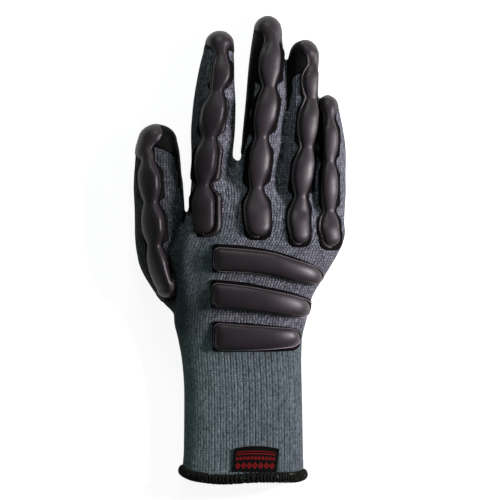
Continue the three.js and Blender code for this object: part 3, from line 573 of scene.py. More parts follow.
def wales(bm):
    """Writes each corner's place on the knit, in millimetres: across the wales and along them."""
    names = list(FINGERS)
    bm.normal_update()
    bm.faces.ensure_lookup_table()
    bm.verts.index_update()
    points = np.array([v.co for v in bm.verts])
    normals = np.abs(np.array([v.normal for v in bm.verts]))
    # 1 on the side of a finger, 0 where the skin falls away along it
    flank = normals[:, 0] / (np.hypot(normals[:, 0], normals[:, 1]) + 0.05)
    body = body_ovals().locate(points)
    # Towards the fingers the back is nearly flat, so that its wales are drawn in plan
    level = step(-5, 20, points[:, 1])
    broad = body.way * (1 - level) + body.side * body.half * level
    ways = []
    for name in names:
        part = finger_ovals(name).locate(points)
        if name == "thumb":
            ways.append(part.way)
            continue
        rows = FINGERS[name]
        high, low = rows[1][1] + 4, rows[1][1] - 26
        root = np.array([[float(smooth(rows, 0, low)), low, 34.0]])
        side = points[:, 0] - smooth(rows, 0, points[:, 1])
        own = np.sign(side) * np.hypot(side, flank * np.maximum(0, part.top - points[:, 2]))
        own += float(body_ovals().locate(root).way[0])
        share = step(low, high, points[:, 1])
        ways.append(broad * (1 - share) + own * share)
    # A face of the hand takes the wales of the finger that it lies below
    centres = np.array([f.calc_center_median() for f in bm.faces])
    forms = [finger_ovals(name) for name in names] + [body_ovals()]
    owner = np.column_stack([form.locate(centres).off for form in forms]).argmin(1)
    columns = [float(smooth(FINGERS[name], 0, 50)) for name in names[:4]]
    below = np.abs(centres[:, :1] - np.array(columns)).argmin(1)
    layer = bm.loops.layers.uv.new("wales")
    for face in bm.faces:
        part = owner[face.index]
        if part == len(names):
            part = below[face.index]
        for loop in face.loops:
            k = loop.vert.index
            loop[layer].uv = (ways[part][k], points[k, 1])


def fold_over(bm):
    """Lifts the back of the hand where it stands over the thumb, and sinks the creases."""
    bm.normal_update()
    for vert in bm.verts:
        x, y, _ = vert.co
        if vert.normal.z > 0.1 and FOLD[-1][1] < y < FOLD[0][1] and -60 < x < -10:
            past = x - float(smooth(FOLD, 0, y))
            height = float(smooth(FOLD, 2, y))
            hand = float(step(-FOLD_LIP, FOLD_LIP, past))
            trough = FOLD_TROUGH.depth * (1 - hand) * float(step(FOLD_TROUGH.start, FOLD_TROUGH.end, past))
            vert.co.z += height * (hand * (1 - float(step(*FOLD_RUN, past))) - trough)
        for start_x, start_y, end_x, end_y, depth, half in CREASES:
            start, line = Vector((start_x, start_y)), Vector((end_x - start_x, end_y - start_y))
            share = min(1, max(0, (vert.co.xy - start).dot(line) / line.length_squared))
            away = (vert.co.xy - start - line * share).length / half
            if vert.normal.z > 0.1 and away < 3:
                vert.co.z -= depth * math.exp(-away * away)


def knit_shell(knit):
    """The knitted hand and cuff: one seamless tube with stalls, open at the mouth"""
    bm = hand_form()[0].copy()

    def past_mouth(points):
        place = body_ovals().locate(points)
        line = MOUTH.y - (points[:, 0] - MOUTH.x) * MOUTH.slope
        return line - drooping(place.side, place.up) - points[:, 1]

    trim(bm, past_mouth)
    fold_over(bm)
    thicken(bm, -KNIT_WALL, 0)
    wales(bm)
    return finished(bm, "knit_hand_and_cuff", knitted_yarn(knit), "knit_shell")


def above_dip(points):
    """How far points lie above the line that the palm's dip reaches"""
    x, y, z = points.T
    ripple = sum(height * np.sin(along * y + across * x + start) for height, across, along, start in RIPPLES)
    body = body_ovals()
    slope = body.across[:, 1] / body.across[:, 0]
    line = body.middle[:, 1] + (points[:, :1] - body.middle[:, 0]) * slope
    k = np.clip((line < points[:, 1:2]).sum(1), 0, len(slope) - 1)
    climb = body.dip[k] * body.locate(points).top
    above = [np.maximum(z - climb - ripple, DIP_END - y + 2 * ripple)]
    # The foam seeps a little unevenly up the finger's sides, and less near the roots of the fingers
    seep = ripple * 1.4 + 0.4 * np.sin(0.55 * y + 0.9 * z)
    aways = {name: np.abs(x - smooth(rows, 0, y)) - smooth(rows, 2, y) for name, rows in FINGERS.items()}
    for name, rows in FINGERS.items():
        tip, left, right, end = TIPS[name]
        middle, half, top = (smooth(rows, column, y) for column in (0, 2, 3))
        across = (x - middle + half + 4) / (2 * half + 8)
        climb = (left + (right - left) * across) * top
        climb *= 0.2 + 0.8 * step(rows[1][1], rows[1][1] + 36, y)
        beyond = np.clip((y - rows[-1][1]) / (tip + 4), 0, 1)
        climb = climb * (1 - beyond) + end * top * beyond
        bare = np.minimum(x - smooth(LAPS[name], 0, y), smooth(LAPS[name], 2, y) - x) + seep
        # A finger's dip ends where its neighbour begins
        others = np.min([away for other, away in aways.items() if other != name], axis=0)
        beside = np.maximum.reduce([aways[name] - 4, aways[name] - others, rows[0][1] + 6 - y])
        above.append(np.maximum(np.minimum(z - climb - ripple, bare), beside))
    return np.min(above, axis=0)


def palm_dip():
    """The foam dip over the palm and the undersides of the fingers, thin at its edge"""
    bm = hand_form()[0].copy()
    trim(bm, above_dip)

    def outer(points, _):
        return DIP_EDGE + DIP_BODY * step(0, 4, -above_dip(points))

    thicken(bm, -0.4, outer)
    return finished(bm, "palm_dip", dipped_foam(), "palm_coating")


# A cap: its wall at the edge and how much the wall swells inside it, each with what a place that
# faces up has more, over what distance it swells, the height of its lowest edge, and how far its
# inside lies off the skin
CAP = SimpleNamespace(edge=(0.35, 0.35), swell=(0.5, 1.9), run=5.5, low=5, inner=0.1)
# Where the cap and the first neck are smoothed together: past the cap's edge, over what reach, above
# what height, and how many times
NECK = SimpleNamespace(past=3, reach=8, height=1.3, rounds=36)


def cap_skin(name):
    """The moulded cap over a fingertip: thick on its back, with a crisp edge"""
    bm = hand_form()[0].copy()
    rows, low = CAPS[name], min(row[1] for row in CAPS[name])
    middle = FINGERS[name][-1][0]

    def far(vert):
        return vert.co.y < low - 4 or abs(vert.co.x - middle) > 20 or vert.co.z < 1.5

    bmesh.ops.delete(bm, geom=[v for v in bm.verts if far(v)], context="VERTS")
    bmesh.ops.subdivide_edges(bm, edges=bm.edges[:], cuts=1, use_grid_fill=True, smooth=0.5)
    smoothed(bm, bm.verts[:], 2)

    def outside(points):
        x, y, z = points.T
        slope = (smooth(rows, 2, y + 0.2) - smooth(rows, 2, y - 0.2)) / 0.4
        beside = (np.abs(x - smooth(rows, 0, y)) - smooth(rows, 2, y)) / np.hypot(1, slope)
        return np.maximum.reduce([beside, low - y, CAP.low - z])

    trim(bm, outside)

    def outer(points, normals):
        inside = np.clip(-outside(points) / CAP.run, 0, 1)
        up = np.clip(normals[:, 2], 0, 1)
        swell = (CAP.swell[0] + CAP.swell[1] * up) * np.sqrt(1 - (1 - inside) ** 2)
        return CAP.edge[0] + CAP.edge[1] * up + swell

    thicken(bm, CAP.inner, outer)
    return bm


# Height of the ledge from which the ridge rises
LEDGE = 0.95
# Levels of a moulded pad, from its thin base over the ridge round its foot to its crown: share of
# the way out from the spine, distance out from there, height, whether the height is above the knit
# or above the wall's top, and whether the level follows the base's outline, the pad's or the band
# between them
LEVELS = [
    (0, 0, 0.2, "knit", "base"), (0.5, 0, 0.2, "knit", "base"), (1, 0, 0.15, "knit", "base"),
    (1, 0.05, 0.55, "knit", "base"), (1, -0.1, 0.8, "knit", "base"), (1, -0.4, 0.9, "knit", "base"),
    (1, 0, LEDGE, "knit", "band"), (1, 1.1, LEDGE, "knit", "pad"),
    (1, 0.95, 1.3, "knit", "pad"), (1, 0.7, 1.45, "knit", "pad"),
    (1, 0.45, 1.3, "knit", "pad"), (1, 0.2, 1, "knit", "pad"), (1, 0.05, -0.7, "wall", "pad"),
    (1, -0.15, -0.25, "wall", "pad"), (0.95, 0, 0, "dome", "pad"), (0.87, 0, 0, "dome", "pad"),
    (0.75, 0, 0, "dome", "pad"), (0.6, 0, 0, "dome", "pad"), (0.4, 0, 0, "dome", "pad"),
    (0.2, 0, 0, "dome", "pad"), (0, 0, 0, "dome", "pad"),
]
# Which of the levels is the ridge's crest
RIDGE = 9
# How far the highlight painted on the rim reaches from the ridge, and between which heights the
# dull foot, darkened with painted shade, ends
RIM_REACH = 0.65
FOOT_HEIGHTS = (0.9, 1.6)
# A string of lobes: turns of its round ends, distance between its cuts, how far its pads and its base
# reach beyond the first cut (1) and its base beyond the last (-1), the base's least reach sideways,
# and the band's share of that reach
END_TURNS = (90, 78, 66, 54, 42, 30, 18)
CUT_STEP = 0.9
FIRST_REACH = 2.5
BASE_REACH = {1: 1.9, -1: 2.7}
LEAST_BASE = 1.2
BAND_SHARE = 0.55


def marked(bm, ridge, sides):
    """Marks the skin of a pad: the highlight painted along the ridge, by a share for each half of it,
    and foot, where the rubber lies low on the knit and painted shade darkens it."""
    tree = KDTree(len(ridge))
    for k, place in enumerate(ridge):
        tree.insert(place, k)
    tree.balance()
    rim = bm.verts.layers.float.new("rim")
    foot = bm.verts.layers.float.new("foot")
    for vert in bm.verts:
        _, k, away = tree.find(vert.co)
        vert[rim] = max(0, 1 - away / RIM_REACH) * sides[k >= len(ridge) / 2]
        vert[foot] = 1 - float(step(*FOOT_HEIGHTS, height_over(vert.co)))


def moulded(bm, loops):
    """Adds a pad to a skin, level by level, closed at its base and at its crown."""
    made = loft(bm, loops)
    bmesh.ops.remove_doubles(bm, verts=[v for ring in made for v in ring], dist=0.02)


def bead_loops(name, dome):
    """The levels of a guard's string of lobes, each a loop down one side and up the other"""
    rows, end = BEADS[name], BEAD_ENDS[name]
    bases = [(row[2] + row[5], row[1], row[2] + row[6]) for row in rows]
    high, low = rows[0][1], rows[-1][1]
    ends = [math.radians(t) for t in END_TURNS]
    cuts = [(high, t, 1) for t in ends]
    cuts += [(y, 0, 1) for y in np.linspace(high, low, int((high - low) / CUT_STEP))]
    cuts += [(low, t, -1) for t in reversed(ends)]
    table = [
        (float(smooth(rows, 0, y)), beaded(rows, 2, y), beaded(rows, 3, y), float(smooth(rows, 4, y)))
        for y, _, _ in cuts
    ]
    reaches = [(squared(bases, 0, y), squared(bases, 2, y)) for y, _, _ in cuts]

    def point(k, side, level):
        share, out, height, kind, part = level
        y, turn, way = cuts[k]
        x, half, rise, lean = table[k]
        swell = dome * min(1, half / 5)
        lean = math.radians(lean)
        up = Vector((math.sin(lean), 0, math.cos(lean)))
        across = Vector((math.cos(lean), 0, -math.sin(lean)))
        edge = rise - swell
        reach = (end if way < 0 else FIRST_REACH) * share + (out if turn else 0)
        if part != "pad":
            # The base lies on the knit, so it is drawn in plan
            beyond = max(reaches[k][side > 0] - half, LEAST_BASE + max(0, -side * up.x * edge))
            beyond *= 1 if part == "base" else BAND_SHARE
            width = (half * across.x + beyond) * share + out
            bulge = RIDGES[name][2] * max(0, beyond - 1) if part == "band" and side > 0 else 0
            y += way * (reach + BASE_REACH[way] * share) * math.sin(turn) ** 0.8
            x = x - up.x * edge * (1 - share) + side * width * math.cos(turn) ** 0.6
            return on_skin(on_back(x, y), height + bulge)
        y += way * reach * math.sin(turn)
        width = (half * share + out) * math.cos(turn)
        spot = on_back(x - up.x * edge, y) + across * side * width
        if kind == "knit":
            ridge = RIDGES[name][side > 0]
            return on_skin(spot, min(height, LEDGE) + ridge * max(0, height - LEDGE))
        top = swell * math.sqrt(1 - share ** 2.2) if kind == "dome" else height
        return spot + up * (edge + top)

    count = len(cuts)
    return [
        [point(k, -1, level) for k in range(count)] + [point(k, 1, level) for k in range(count - 1, -1, -1)]
        for level in LEVELS
    ]


# A bar: turns of its round corners, and how many points lie along each edge
CORNER_TURNS = (0, 15, 30, 45, 60, 75, 90)
BAR_CUTS = 52
# Radius of a bar's corners and how far it reaches beyond the table, at both ends: pillow and base
BAR_CORNERS = {"pad": (3.2, 4.2), "base": (2, 4)}
BAR_BEYOND = {"pad": (0, 0), "base": (1.6, 0.9)}
# The columns of its table that hold its lower and its upper edge
BAR_EDGES = {"pad": (1, 2), "base": (3, 4), "band": (3, 4)}


def bar_outline(rows, low, high, corners, beyond):
    """A bar's outline in plan, as points from the thumb's side along its lower edge and back along
    its upper one, with the x of both ends"""
    first, last = rows[0][0] - beyond[0], rows[-1][0] + beyond[1]
    turns = [math.radians(t) for t in CORNER_TURNS]
    xs = [first + corners[0] * (1 - math.cos(t)) for t in turns]
    xs += list(np.linspace(xs[-1], last - corners[1], BAR_CUTS))[1:-1]
    xs += [last - corners[1] * (1 - math.cos(t)) for t in reversed(turns)]

    def edge(x, column, inwards):
        inset = 0
        for gap, radius in ((x - first, corners[0]), (last - x, corners[1])):
            if gap < radius:
                inset = radius - math.sqrt(max(0, radius ** 2 - (radius - gap) ** 2))
        return float(smooth(rows, column, x, key=0)) + inwards * inset

    lower = [(x, edge(x, low, 1)) for x in xs]
    upper = [(x, edge(x, high, -1)) for x in reversed(xs)]

    def filled(a, b):
        return [(a[0], a[1] + (b[1] - a[1]) * k / 4) for k in (1, 2, 3)]

    around = lower + filled(lower[-1], upper[0]) + upper + filled(upper[-1], lower[0])
    return around, first, last


def bar_loops(rows, dome):
    """The levels of a bar: a domed pillow on a thin squarish base"""
    outlines = {
        part: bar_outline(rows, *BAR_EDGES[part], BAR_CORNERS[part], BAR_BEYOND[part])
        for part in ("pad", "base")
    }
    pairs = zip(outlines["pad"][0], outlines["base"][0])
    outlines["band"] = ([((a[0] + b[0]) / 2, (a[1] + b[1]) / 2) for a, b in pairs], *outlines["base"][1:])

    def at(column, x):
        return float(smooth(rows, column, x, key=0))

    def point(k, level):
        share, out, height, kind, part = level
        around, first, last = outlines[part]
        low, high = BAR_EDGES[part]
        (x, y), before, after = around[k], around[k - 1], around[(k + 1) % len(around)]
        along = Vector((after[0] - before[0], after[1] - before[1])).normalized()
        x, y = x + along.y * out, y - along.x * out
        middle = (first + last) / 2
        half = (at(high, x) - at(low, x)) / 2
        x = middle + (x - middle) * (1 - (1 - share) * half / ((last - first) / 2))
        spine = (at(high, x) + at(low, x)) / 2
        y = spine + (y - spine) * share if share else spine
        rise, lean = at(5, x), math.radians(at(6, x))
        up = Vector((math.sin(lean), 0, math.cos(lean)))
        edge = rise - dome
        foot = on_back(x - up.x * edge, spine)
        foot.y = y
        if kind == "knit":
            return on_skin(foot, height)
        top = dome * math.sqrt(1 - share ** 2.2) if kind == "dome" else height
        return foot + up * (edge + top)

    return [[point(k, level) for k in range(len(outlines[level[4]][0]))] for level in LEVELS]


def guard(name, rubber):
    """A finger's guard: its cap and its string of lobes, moulded in one"""
    bm = cap_skin(name)
    loops = bead_loops(name, rubber.dome * 1000)
    moulded(bm, loops)
    remeshed(bm, GUARD_VOXEL, 2)
    # The cap runs smoothly into the first neck
    neck = CAPS[name][-1][1] + NECK.past
    high = [v for v in bm.verts if abs(v.co.y - neck) < NECK.reach and height_over(v.co) > NECK.height]
    smoothed(bm, high, NECK.rounds)
    marked(bm, loops[RIDGE], RIDGES[name])
    return finished(bm, name + "_knuckle_guard", moulded_rubber(rubber), name + "_guard")


def bar(name, rubber):
    """A bar on the back of the hand. The highlight painted on its rim is fainter along its upper edge."""
    bm = bmesh.new()
    loops = bar_loops(BARS[name], rubber.dome * 1000)
    moulded(bm, loops)
    marked(bm, loops[RIDGE], (1, 0.45))
    return finished(bm, name + "_hand_bar", moulded_rubber(rubber), name + "_bar")


def mouth_path(count):
    """The middle of the knit's wall round the cuff's mouth, with the way out of it at each place"""
    ovals = body_ovals()
    k = int(np.argmin(np.abs(ovals.middle[:, 1] - MOUTH.y)))
    ring = ovals.ring(k, count, -KNIT_WALL / 2)
    turn = np.linspace(0, 2 * np.pi, count, endpoint=False)
    side = signed_power(np.cos(turn), 2 / BODY_FULLNESS)
    up = signed_power(np.sin(turn), 2 / BODY_FULLNESS)
    ring[:, 1] -= drooping(side, up)
    along = np.roll(ring, -1, axis=0) - np.roll(ring, 1, axis=0)
    outs = np.column_stack([along[:, 2], np.zeros(count), -along[:, 0]])
    outs /= np.linalg.norm(outs, axis=1)[:, None]
    return ring, outs, drooping(side, up) / (DROOP.back + DROOP.depth)


def hem_point(path, place, turn, extra):
    """A point round the hem's section, at a place along the mouth given as an index"""
    ring, outs, droop = path
    count = len(ring)
    k, share = int(place) % count, place - int(place)
    after = (k + 1) % count
    spot = Vector(ring[k]).lerp(Vector(ring[after]), share)
    out = Vector(outs[k]).lerp(Vector(outs[after]), share)
    half = (HEM.height - HEM.less * (droop[k] * (1 - share) + droop[after] * share)) / 2 + extra
    reach = (HEM.outside if math.cos(turn) > 0 else HEM.inside) + KNIT_WALL / 2 + extra
    spot += out * math.cos(turn) * reach
    spot.y += math.sin(turn) * half - HEM.past
    spot.z = max(spot.z, 0)
    return spot


def hem(trimmings):
    """The overlocked edge: a rolled core with yarn wrapped over it"""
    count = MOUTH_POINTS
    path = mouth_path(count)
    bm = bmesh.new()
    turns = [2 * math.pi * k / CORE.points for k in range(CORE.points)]
    core = [[hem_point(path, k, t, -CORE.inset) for k in range(count)] for t in turns]
    loft(bm, core + core[:1])
    bmesh.ops.remove_doubles(bm, verts=bm.verts[:], dist=0.01)
    yarn = trimmings.yarn * 1000
    length = sum((Vector(path[0][k]) - Vector(path[0][k - 1])).length for k in range(count))
    wraps = int(length / (yarn * WRAP.pitch))
    lean = WRAP.lean * count / length
    mesh = bpy.data.meshes.new("wrap")
    for w in range(wraps):
        # No two wraps sway or swell alike
        start = w * count / wraps
        sway = 0.22 * math.sin(w * 2.4) + 0.15 * math.sin(w * 5.1)
        rings = []
        for k in range(WRAP.points):
            turn = 2 * math.pi * k / WRAP.points
            here = start + lean * math.cos(turn) + sway
            thick = yarn / 2 * (1 + 0.12 * math.sin(w * 3.7 + k))
            middle = hem_point(path, here, turn, -WRAP.inset)
            away = (hem_point(path, here, turn, WRAP.out) - middle).normalized()
            beside = (hem_point(path, here + 0.5, turn, -WRAP.inset) - middle).normalized()
            rings.append([
                middle + (away * math.sin(a) * WRAP.flat + beside * math.cos(a)) * thick
                for a in YARN_SIDES
            ])
        wrap = bmesh.new()
        loft(wrap, rings + rings[:1])
        bmesh.ops.remove_doubles(wrap, verts=wrap.verts[:], dist=0.01)
        wrap.to_mesh(mesh)
        wrap.free()
        bm.from_mesh(mesh)
    bpy.data.meshes.remove(mesh)
    return finished(bm, "overlocked_hem", overlock_yarn(trimmings), "cuff_hem")


def label(trimmings):
    """A ribbon label sewn to the back of the cuff, its end caught in the hem"""
    bm = bmesh.new()
    layer = bm.loops.layers.uv.new("ribbon")
    bmesh.ops.create_grid(bm, x_segments=54, y_segments=28, size=0.5)
    places = {}
    for vert in bm.verts:
        u, v = vert.co.x + 0.5, vert.co.y + 0.5
        left, right = LABEL_EDGES["left"], LABEL_EDGES["right"]
        top = Vector(left[:2]).lerp(Vector(right[:2]), u) + Vector((0, LABEL.bow * u * (1 - u)))
        low = Vector(left[2:]).lerp(Vector(right[2:]), u)
        spot = low.lerp(top, v)
        # It lies 0.55 mm over the skin and curls up by 0.5 mm at its top and 0.25 mm at its corners
        lift = 0.55 + 0.5 * v ** 6 + 0.25 * (2 * abs(u - 0.5)) ** 6 * v
        vert.co = on_back(spot.x, spot.y) + Vector((0, 0, lift))
        places[vert] = ((u - 0.5) * LABEL.width, (v - 0.5) * LABEL.height)
    for face in bm.faces:
        for loop in face.loops:
            loop[layer].uv = places[loop.vert]
    thicken(bm, 0, LABEL.thick)
    piece = finished(bm, "ribbon_label", woven_ribbon(trimmings), "cuff_label")
    return piece


def add(tree, kind, inputs=None, output=0, **settings):
    """Adds a node with its settings, sets or links its inputs, and gives one of its outputs."""
    made = tree.nodes.new("ShaderNode" + kind)
    for name, value in settings.items():
        setattr(made, name, value)
    for socket, value in (inputs or {}).items():
        if isinstance(value, bpy.types.NodeSocket):
            tree.links.new(value, made.inputs[socket])
        else:
            made.inputs[socket].default_value = value
    return None if output is None else made.outputs[output]


# Settings that many nodes share
RGBA = {"output": 2, "data_type": "RGBA"}
SMOOTH = {"interpolation_type": "SMOOTHSTEP"}


def shaded(name, draw, depth, **values):
    """A material whose sockets are given by draw(node), with the bump's height as "Height", where
    node adds a node. Values that are the same all over go on the shader's own sockets, and depth is
    the bump's in metres."""
    material = bpy.data.materials.get(name)
    if material:
        return material
    material = bpy.data.materials.new(name)
    material.use_nodes = True
    material.node_tree.nodes.clear()
    node = functools.partial(add, material.node_tree)
    sockets = draw(node)
    sockets["Normal"] = node("Bump", {"Height": sockets.pop("Height"), "Distance": depth, "Strength": 1.0})
    sockets.update({key.replace("_", " "): value for key, value in values.items()})
    node("OutputMaterial", {"Surface": node("BsdfPrincipled", sockets)}, output=None)
    return material


def knitted_yarn(knit):
    """Heather polyester yarn, knitted plain on the hand and in a fine rib on the cuff: columns of
    small V-shaped stitches, mottled light and dark, with shadow between the columns."""

    def draw(node):
        place = node("UVMap", uv_map="wales")
        # Wales sway by up to 0.25 mm over about 9 mm
        sway = node("TexNoise", {"Vector": place, "Scale": 0.11, "Detail": 2.0}, output="Color")
        bent = node("VectorMath", {0: sway, 1: (0.5, 0.5, 0.5)}, operation="SUBTRACT")
        place = node("VectorMath", {0: bent, 1: (0.5, 0.5, 0), 2: place}, operation="MULTIPLY_ADD")
        sideways = node("SeparateXYZ", {0: place})
        lengthways = node("SeparateXYZ", {0: place}, output=1)
        across = node("Math", {0: sideways, 1: knit.wale * 1000}, operation="DIVIDE")
        side = node("Math", {0: across, 1: 0.5}, operation="PINGPONG")
        column = node("MapRange", {"Value": side, "From Min": 0.02, "From Max": 0.34}, **SMOOTH)
        along = node("Math", {0: lengthways, 1: knit.course * 1000}, operation="DIVIDE")
        slant = node("Math", {0: side, 1: 1.4, 2: along}, operation="MULTIPLY_ADD")
        stitch = node("Math", {0: slant, 1: 0.5}, operation="PINGPONG")
        stitch = node("MapRange", {"Value": stitch, "From Max": 0.4, "To Min": 0.2}, **SMOOTH)
        loop = node("Math", {0: column, 1: stitch}, operation="MULTIPLY")
        cuff = node("MapRange", {"Value": lengthways, "From Min": -44.0, "From Max": -56.0}, **SMOOTH)
        frame_place = node("TexCoord", output="Object")
        hand_x = node("SeparateXYZ", {0: frame_place})
        hand_y = node("SeparateXYZ", {0: frame_place}, output=1)
        # The rib is slack on the thumb's side, and its furrows open and close about every 3 mm
        slack = node("MapRange", {"Value": hand_x, "From Min": -0.026, "From Max": 0.006, "To Min": 0.12})
        rib = node("Math", {0: cuff, 1: slack}, operation="MULTIPLY")
        wave = node("Math", {0: across, 1: 1.0}, operation="PINGPONG")
        furrow = node("MapRange", {"Value": wave, "From Min": 0.5, "From Max": 0.05}, **SMOOTH)
        uneven = node("TexNoise", {"Vector": place, "Scale": 0.3, "Detail": 2.0})
        uneven = node("MapRange", {"Value": uneven, "From Min": 0.35, "From Max": 0.6, "To Min": 0.25})
        furrow = node("Math", {0: furrow, 1: rib}, operation="MULTIPLY")
        furrow = node("Math", {0: furrow, 1: uneven}, operation="MULTIPLY")
        # Beside the bars the knit lies slack and its stitches close up
        beside = node("MapRange", {"Value": sideways, "From Min": -13.0, "From Max": -25.0})
        below = node("MapRange", {"Value": lengthways, "From Min": 20.0, "From Max": 0.0})
        beside = node("Math", {0: beside, 1: below}, operation="MULTIPLY")
        calm = node("Math", {0: beside, 1: cuff}, operation="MAXIMUM")
        # From open stitches to closed ones: their relief, pale legs, dull legs and shadow between columns
        low, strong, dull, plain = (
            node("MapRange", {"Value": calm, "To Min": start, "To Max": end})
            for start, end in ((1.0, 0.22), (0.6, 0.34), (0.58, 0.84), (0.42, 0.88))
        )
        height = node("Math", {0: loop, 1: low}, operation="MULTIPLY")
        height = node("Math", {0: furrow, 1: -0.5, 2: height}, operation="MULTIPLY_ADD")
        # Fibres are far too fine to show, so flecks stand for them: about 1.4 mm by 2 mm
        stretched = node("VectorMath", {0: place, 1: (1.0, 0.7, 1.0)}, operation="MULTIPLY")
        fleck = node("TexNoise", {"Vector": stretched, "Scale": 0.7, "Detail": 3.0, "Roughness": 0.8})
        fleck = node("MapRange", {"Value": fleck, "From Min": 0.34, "From Max": 0.66})
        tone = node("Mix", {0: fleck, 6: tuple(knit.dark), 7: tuple(knit.light)}, **RGBA)
        # Each leg of a stitch has its own chance of being pale or dull
        half = node("Math", {0: across, 1: 2.0}, operation="MULTIPLY")
        half = node("Math", {0: half}, operation="FLOOR")
        row = node("Math", {0: slant}, operation="FLOOR")
        cell = node("CombineXYZ", {0: half, 1: row})
        chance = node("TexWhiteNoise", {"Vector": cell}, noise_dimensions="3D")
        bright = node("MapRange", {"Value": chance, "From Min": 0.6, "To Max": strong})
        tone = node("Mix", {0: bright, 6: tone, 7: tuple(knit.fleck)}, **RGBA)
        dull = node("MapRange", {"Value": chance, "From Max": 0.4, "To Min": dull})
        shade = node("MapRange", {"Value": loop, "From Max": 0.85, "To Min": plain})
        # Painted shade darkens the rib's furrows
        furrow_painted_shade = node("Math", {0: furrow, 1: -0.26, 2: 1.0}, operation="MULTIPLY_ADD")
        # Painted shade darkens the knit beside the bars, and the cuff towards the little finger's side,
        # against the key lamp's light
        painted_side_shade = node("MapRange", {"Value": beside, "To Min": 1.0, "To Max": 0.5})
        pale = node("MapRange", {
            "Value": hand_x, "From Min": -0.028, "From Max": 0.032, "To Min": 1.0, "To Max": 0.58,
        })
        painted_side_shade = node("Mix", {0: cuff, 2: painted_side_shade, 3: pale}, data_type="FLOAT")
        # Painted shade darkens the knit over the thumb and the outside of the forefinger
        edge = node("MapRange", {
            "Value": hand_y, "From Min": 0.03, "From Max": 0.06, "To Min": 0.036, "To Max": 0.02,
        }, **SMOOTH)
        thumb_painted_shade = node("Math", {0: hand_x, 1: edge}, operation="ADD")
        thumb_painted_shade = node("MapRange", {
            "Value": thumb_painted_shade, "From Min": -0.007, "From Max": 0.007, "To Min": 0.42,
        }, **SMOOTH)
        # Washing and wear leave patches of 5 mm to 15 mm, along the wales
        patches = node("VectorMath", {0: place, 1: (0.22, 0.07, 1.0)}, operation="MULTIPLY")
        patches = node("TexNoise", {"Vector": patches, "Scale": 1.0, "Detail": 2.0})
        patches = node("MapRange", {"Value": patches, "From Min": 0.35, "From Max": 0.6, "To Min": 0.8})
        for factor in (dull, furrow_painted_shade, painted_side_shade, thumb_painted_shade, patches):
            shade = node("Math", {0: shade, 1: factor}, operation="MULTIPLY")
        tone = node("Mix", {0: calm, 6: tone, 7: linear("#e9fff6")}, **RGBA, blend_type="MULTIPLY")
        colour = node("Mix", {0: shade, 6: linear("#0d0e11"), 7: tone}, **RGBA)
        return {"Base Color": colour, "Height": height}

    return shaded("knitted_heather_yarn", draw, 0.0006, Roughness=0.95, Specular_IOR_Level=0.15)


def moulded_rubber(rubber):
    """Thermoplastic rubber from an injection mould: satin, warm black, with a faint grain, a highlight
    painted along the raised rims and painted shade on the low base."""

    def draw(node):
        place = node("TexCoord", output="Object")
        # Clouds are about 17 mm wide. The mould's grain is drawn at 0.7 mm, coarser than it is
        cloud = node("TexNoise", {"Vector": place, "Scale": 60.0, "Detail": 3.0})
        tone = node("Mix", {0: cloud, 6: tuple(rubber.dark), 7: tuple(rubber.light)}, **RGBA)
        # Painted shade: where the rubber lies low on the knit it is darkened nearly to black
        foot = node("Attribute", output="Fac", attribute_name="foot")
        tone = node("Mix", {0: foot, 6: tone, 7: linear("#0a0809")}, **RGBA)
        # Painted highlight: the raised rim is lighter along the ridge
        rim = node("Attribute", output="Fac", attribute_name="rim")
        colour = node("Mix", {0: rim, 6: tone, 7: linear("#968c91")}, **RGBA)
        grain = node("TexNoise", {"Vector": place, "Scale": 1400.0, "Detail": 2.0})
        roughness = node("MapRange", {
            "Value": cloud, "From Min": 0.3, "From Max": 0.7, "To Min": 0.4, "To Max": 0.48,
        })
        roughness = node("Math", {0: foot, 1: 0.35, 2: roughness}, operation="MULTIPLY_ADD")
        # The low base is rougher and less shiny, so that its painted shade stays dark
        shine = node("MapRange", {"Value": foot, "To Min": 0.4, "To Max": 0.06})
        return {
            "Base Color": colour, "Height": grain, "Roughness": roughness, "Specular IOR Level": shine,
        }

    return shaded("injection_moulded_rubber", draw, 0.00005, IOR=1.5)


def dipped_foam():
    """Nitrile foam from a dipping bath: matt, nearly black, with small open bubbles."""

    def draw(node):
        place = node("TexCoord", output="Object")
        cloud = node("TexNoise", {"Vector": place, "Scale": 90.0, "Detail": 4.0})
        colour = node("Mix", {0: cloud, 6: linear("#030303"), 7: linear("#0b0c0c")}, **RGBA)
        # Bubbles are about 0.3 mm across, drawn at 0.7 mm so that they show
        bubble = node("TexVoronoi", {"Vector": place, "Scale": 1400.0}, output="Distance")
        height = node("Math", {0: cloud, 1: 3.0, 2: bubble}, operation="MULTIPLY_ADD")
        roughness = node("MapRange", {
            "Value": cloud, "From Min": 0.3, "From Max": 0.7, "To Min": 0.55, "To Max": 0.8,
        })
        return {"Base Color": colour, "Height": height, "Roughness": roughness}

    return shaded("dipped_nitrile_foam", draw, 0.0001, Specular_IOR_Level=0.1)


def overlock_yarn(trimmings):
    """Black textured nylon yarn, sewn over the raw edge: soft, with pale fibres here and there."""

    def draw(node):
        place = node("TexCoord", output="Object")
        # Fuzz is drawn at 0.7 mm, coarser than its fibres, and pale ends show about every 2.4 mm
        fuzz = node("TexNoise", {"Vector": place, "Scale": 1500.0, "Detail": 3.0})
        fleck = node("TexNoise", {"Vector": place, "Scale": 420.0, "Detail": 1.0})
        pale = node("MapRange", {"Value": fleck, "From Min": 0.66, "From Max": 0.74, "To Max": 0.6})
        colour = node("Mix", {0: fuzz, 6: linear("#040404"), 7: tuple(trimmings.hem_colour)}, **RGBA)
        colour = node("Mix", {0: pale, 6: colour, 7: linear("#6f746f")}, **RGBA)
        return {"Base Color": colour, "Height": fuzz}

    return shaded("textured_nylon_yarn", draw, 0.0002, Roughness=0.9, Specular_IOR_Level=0.15)


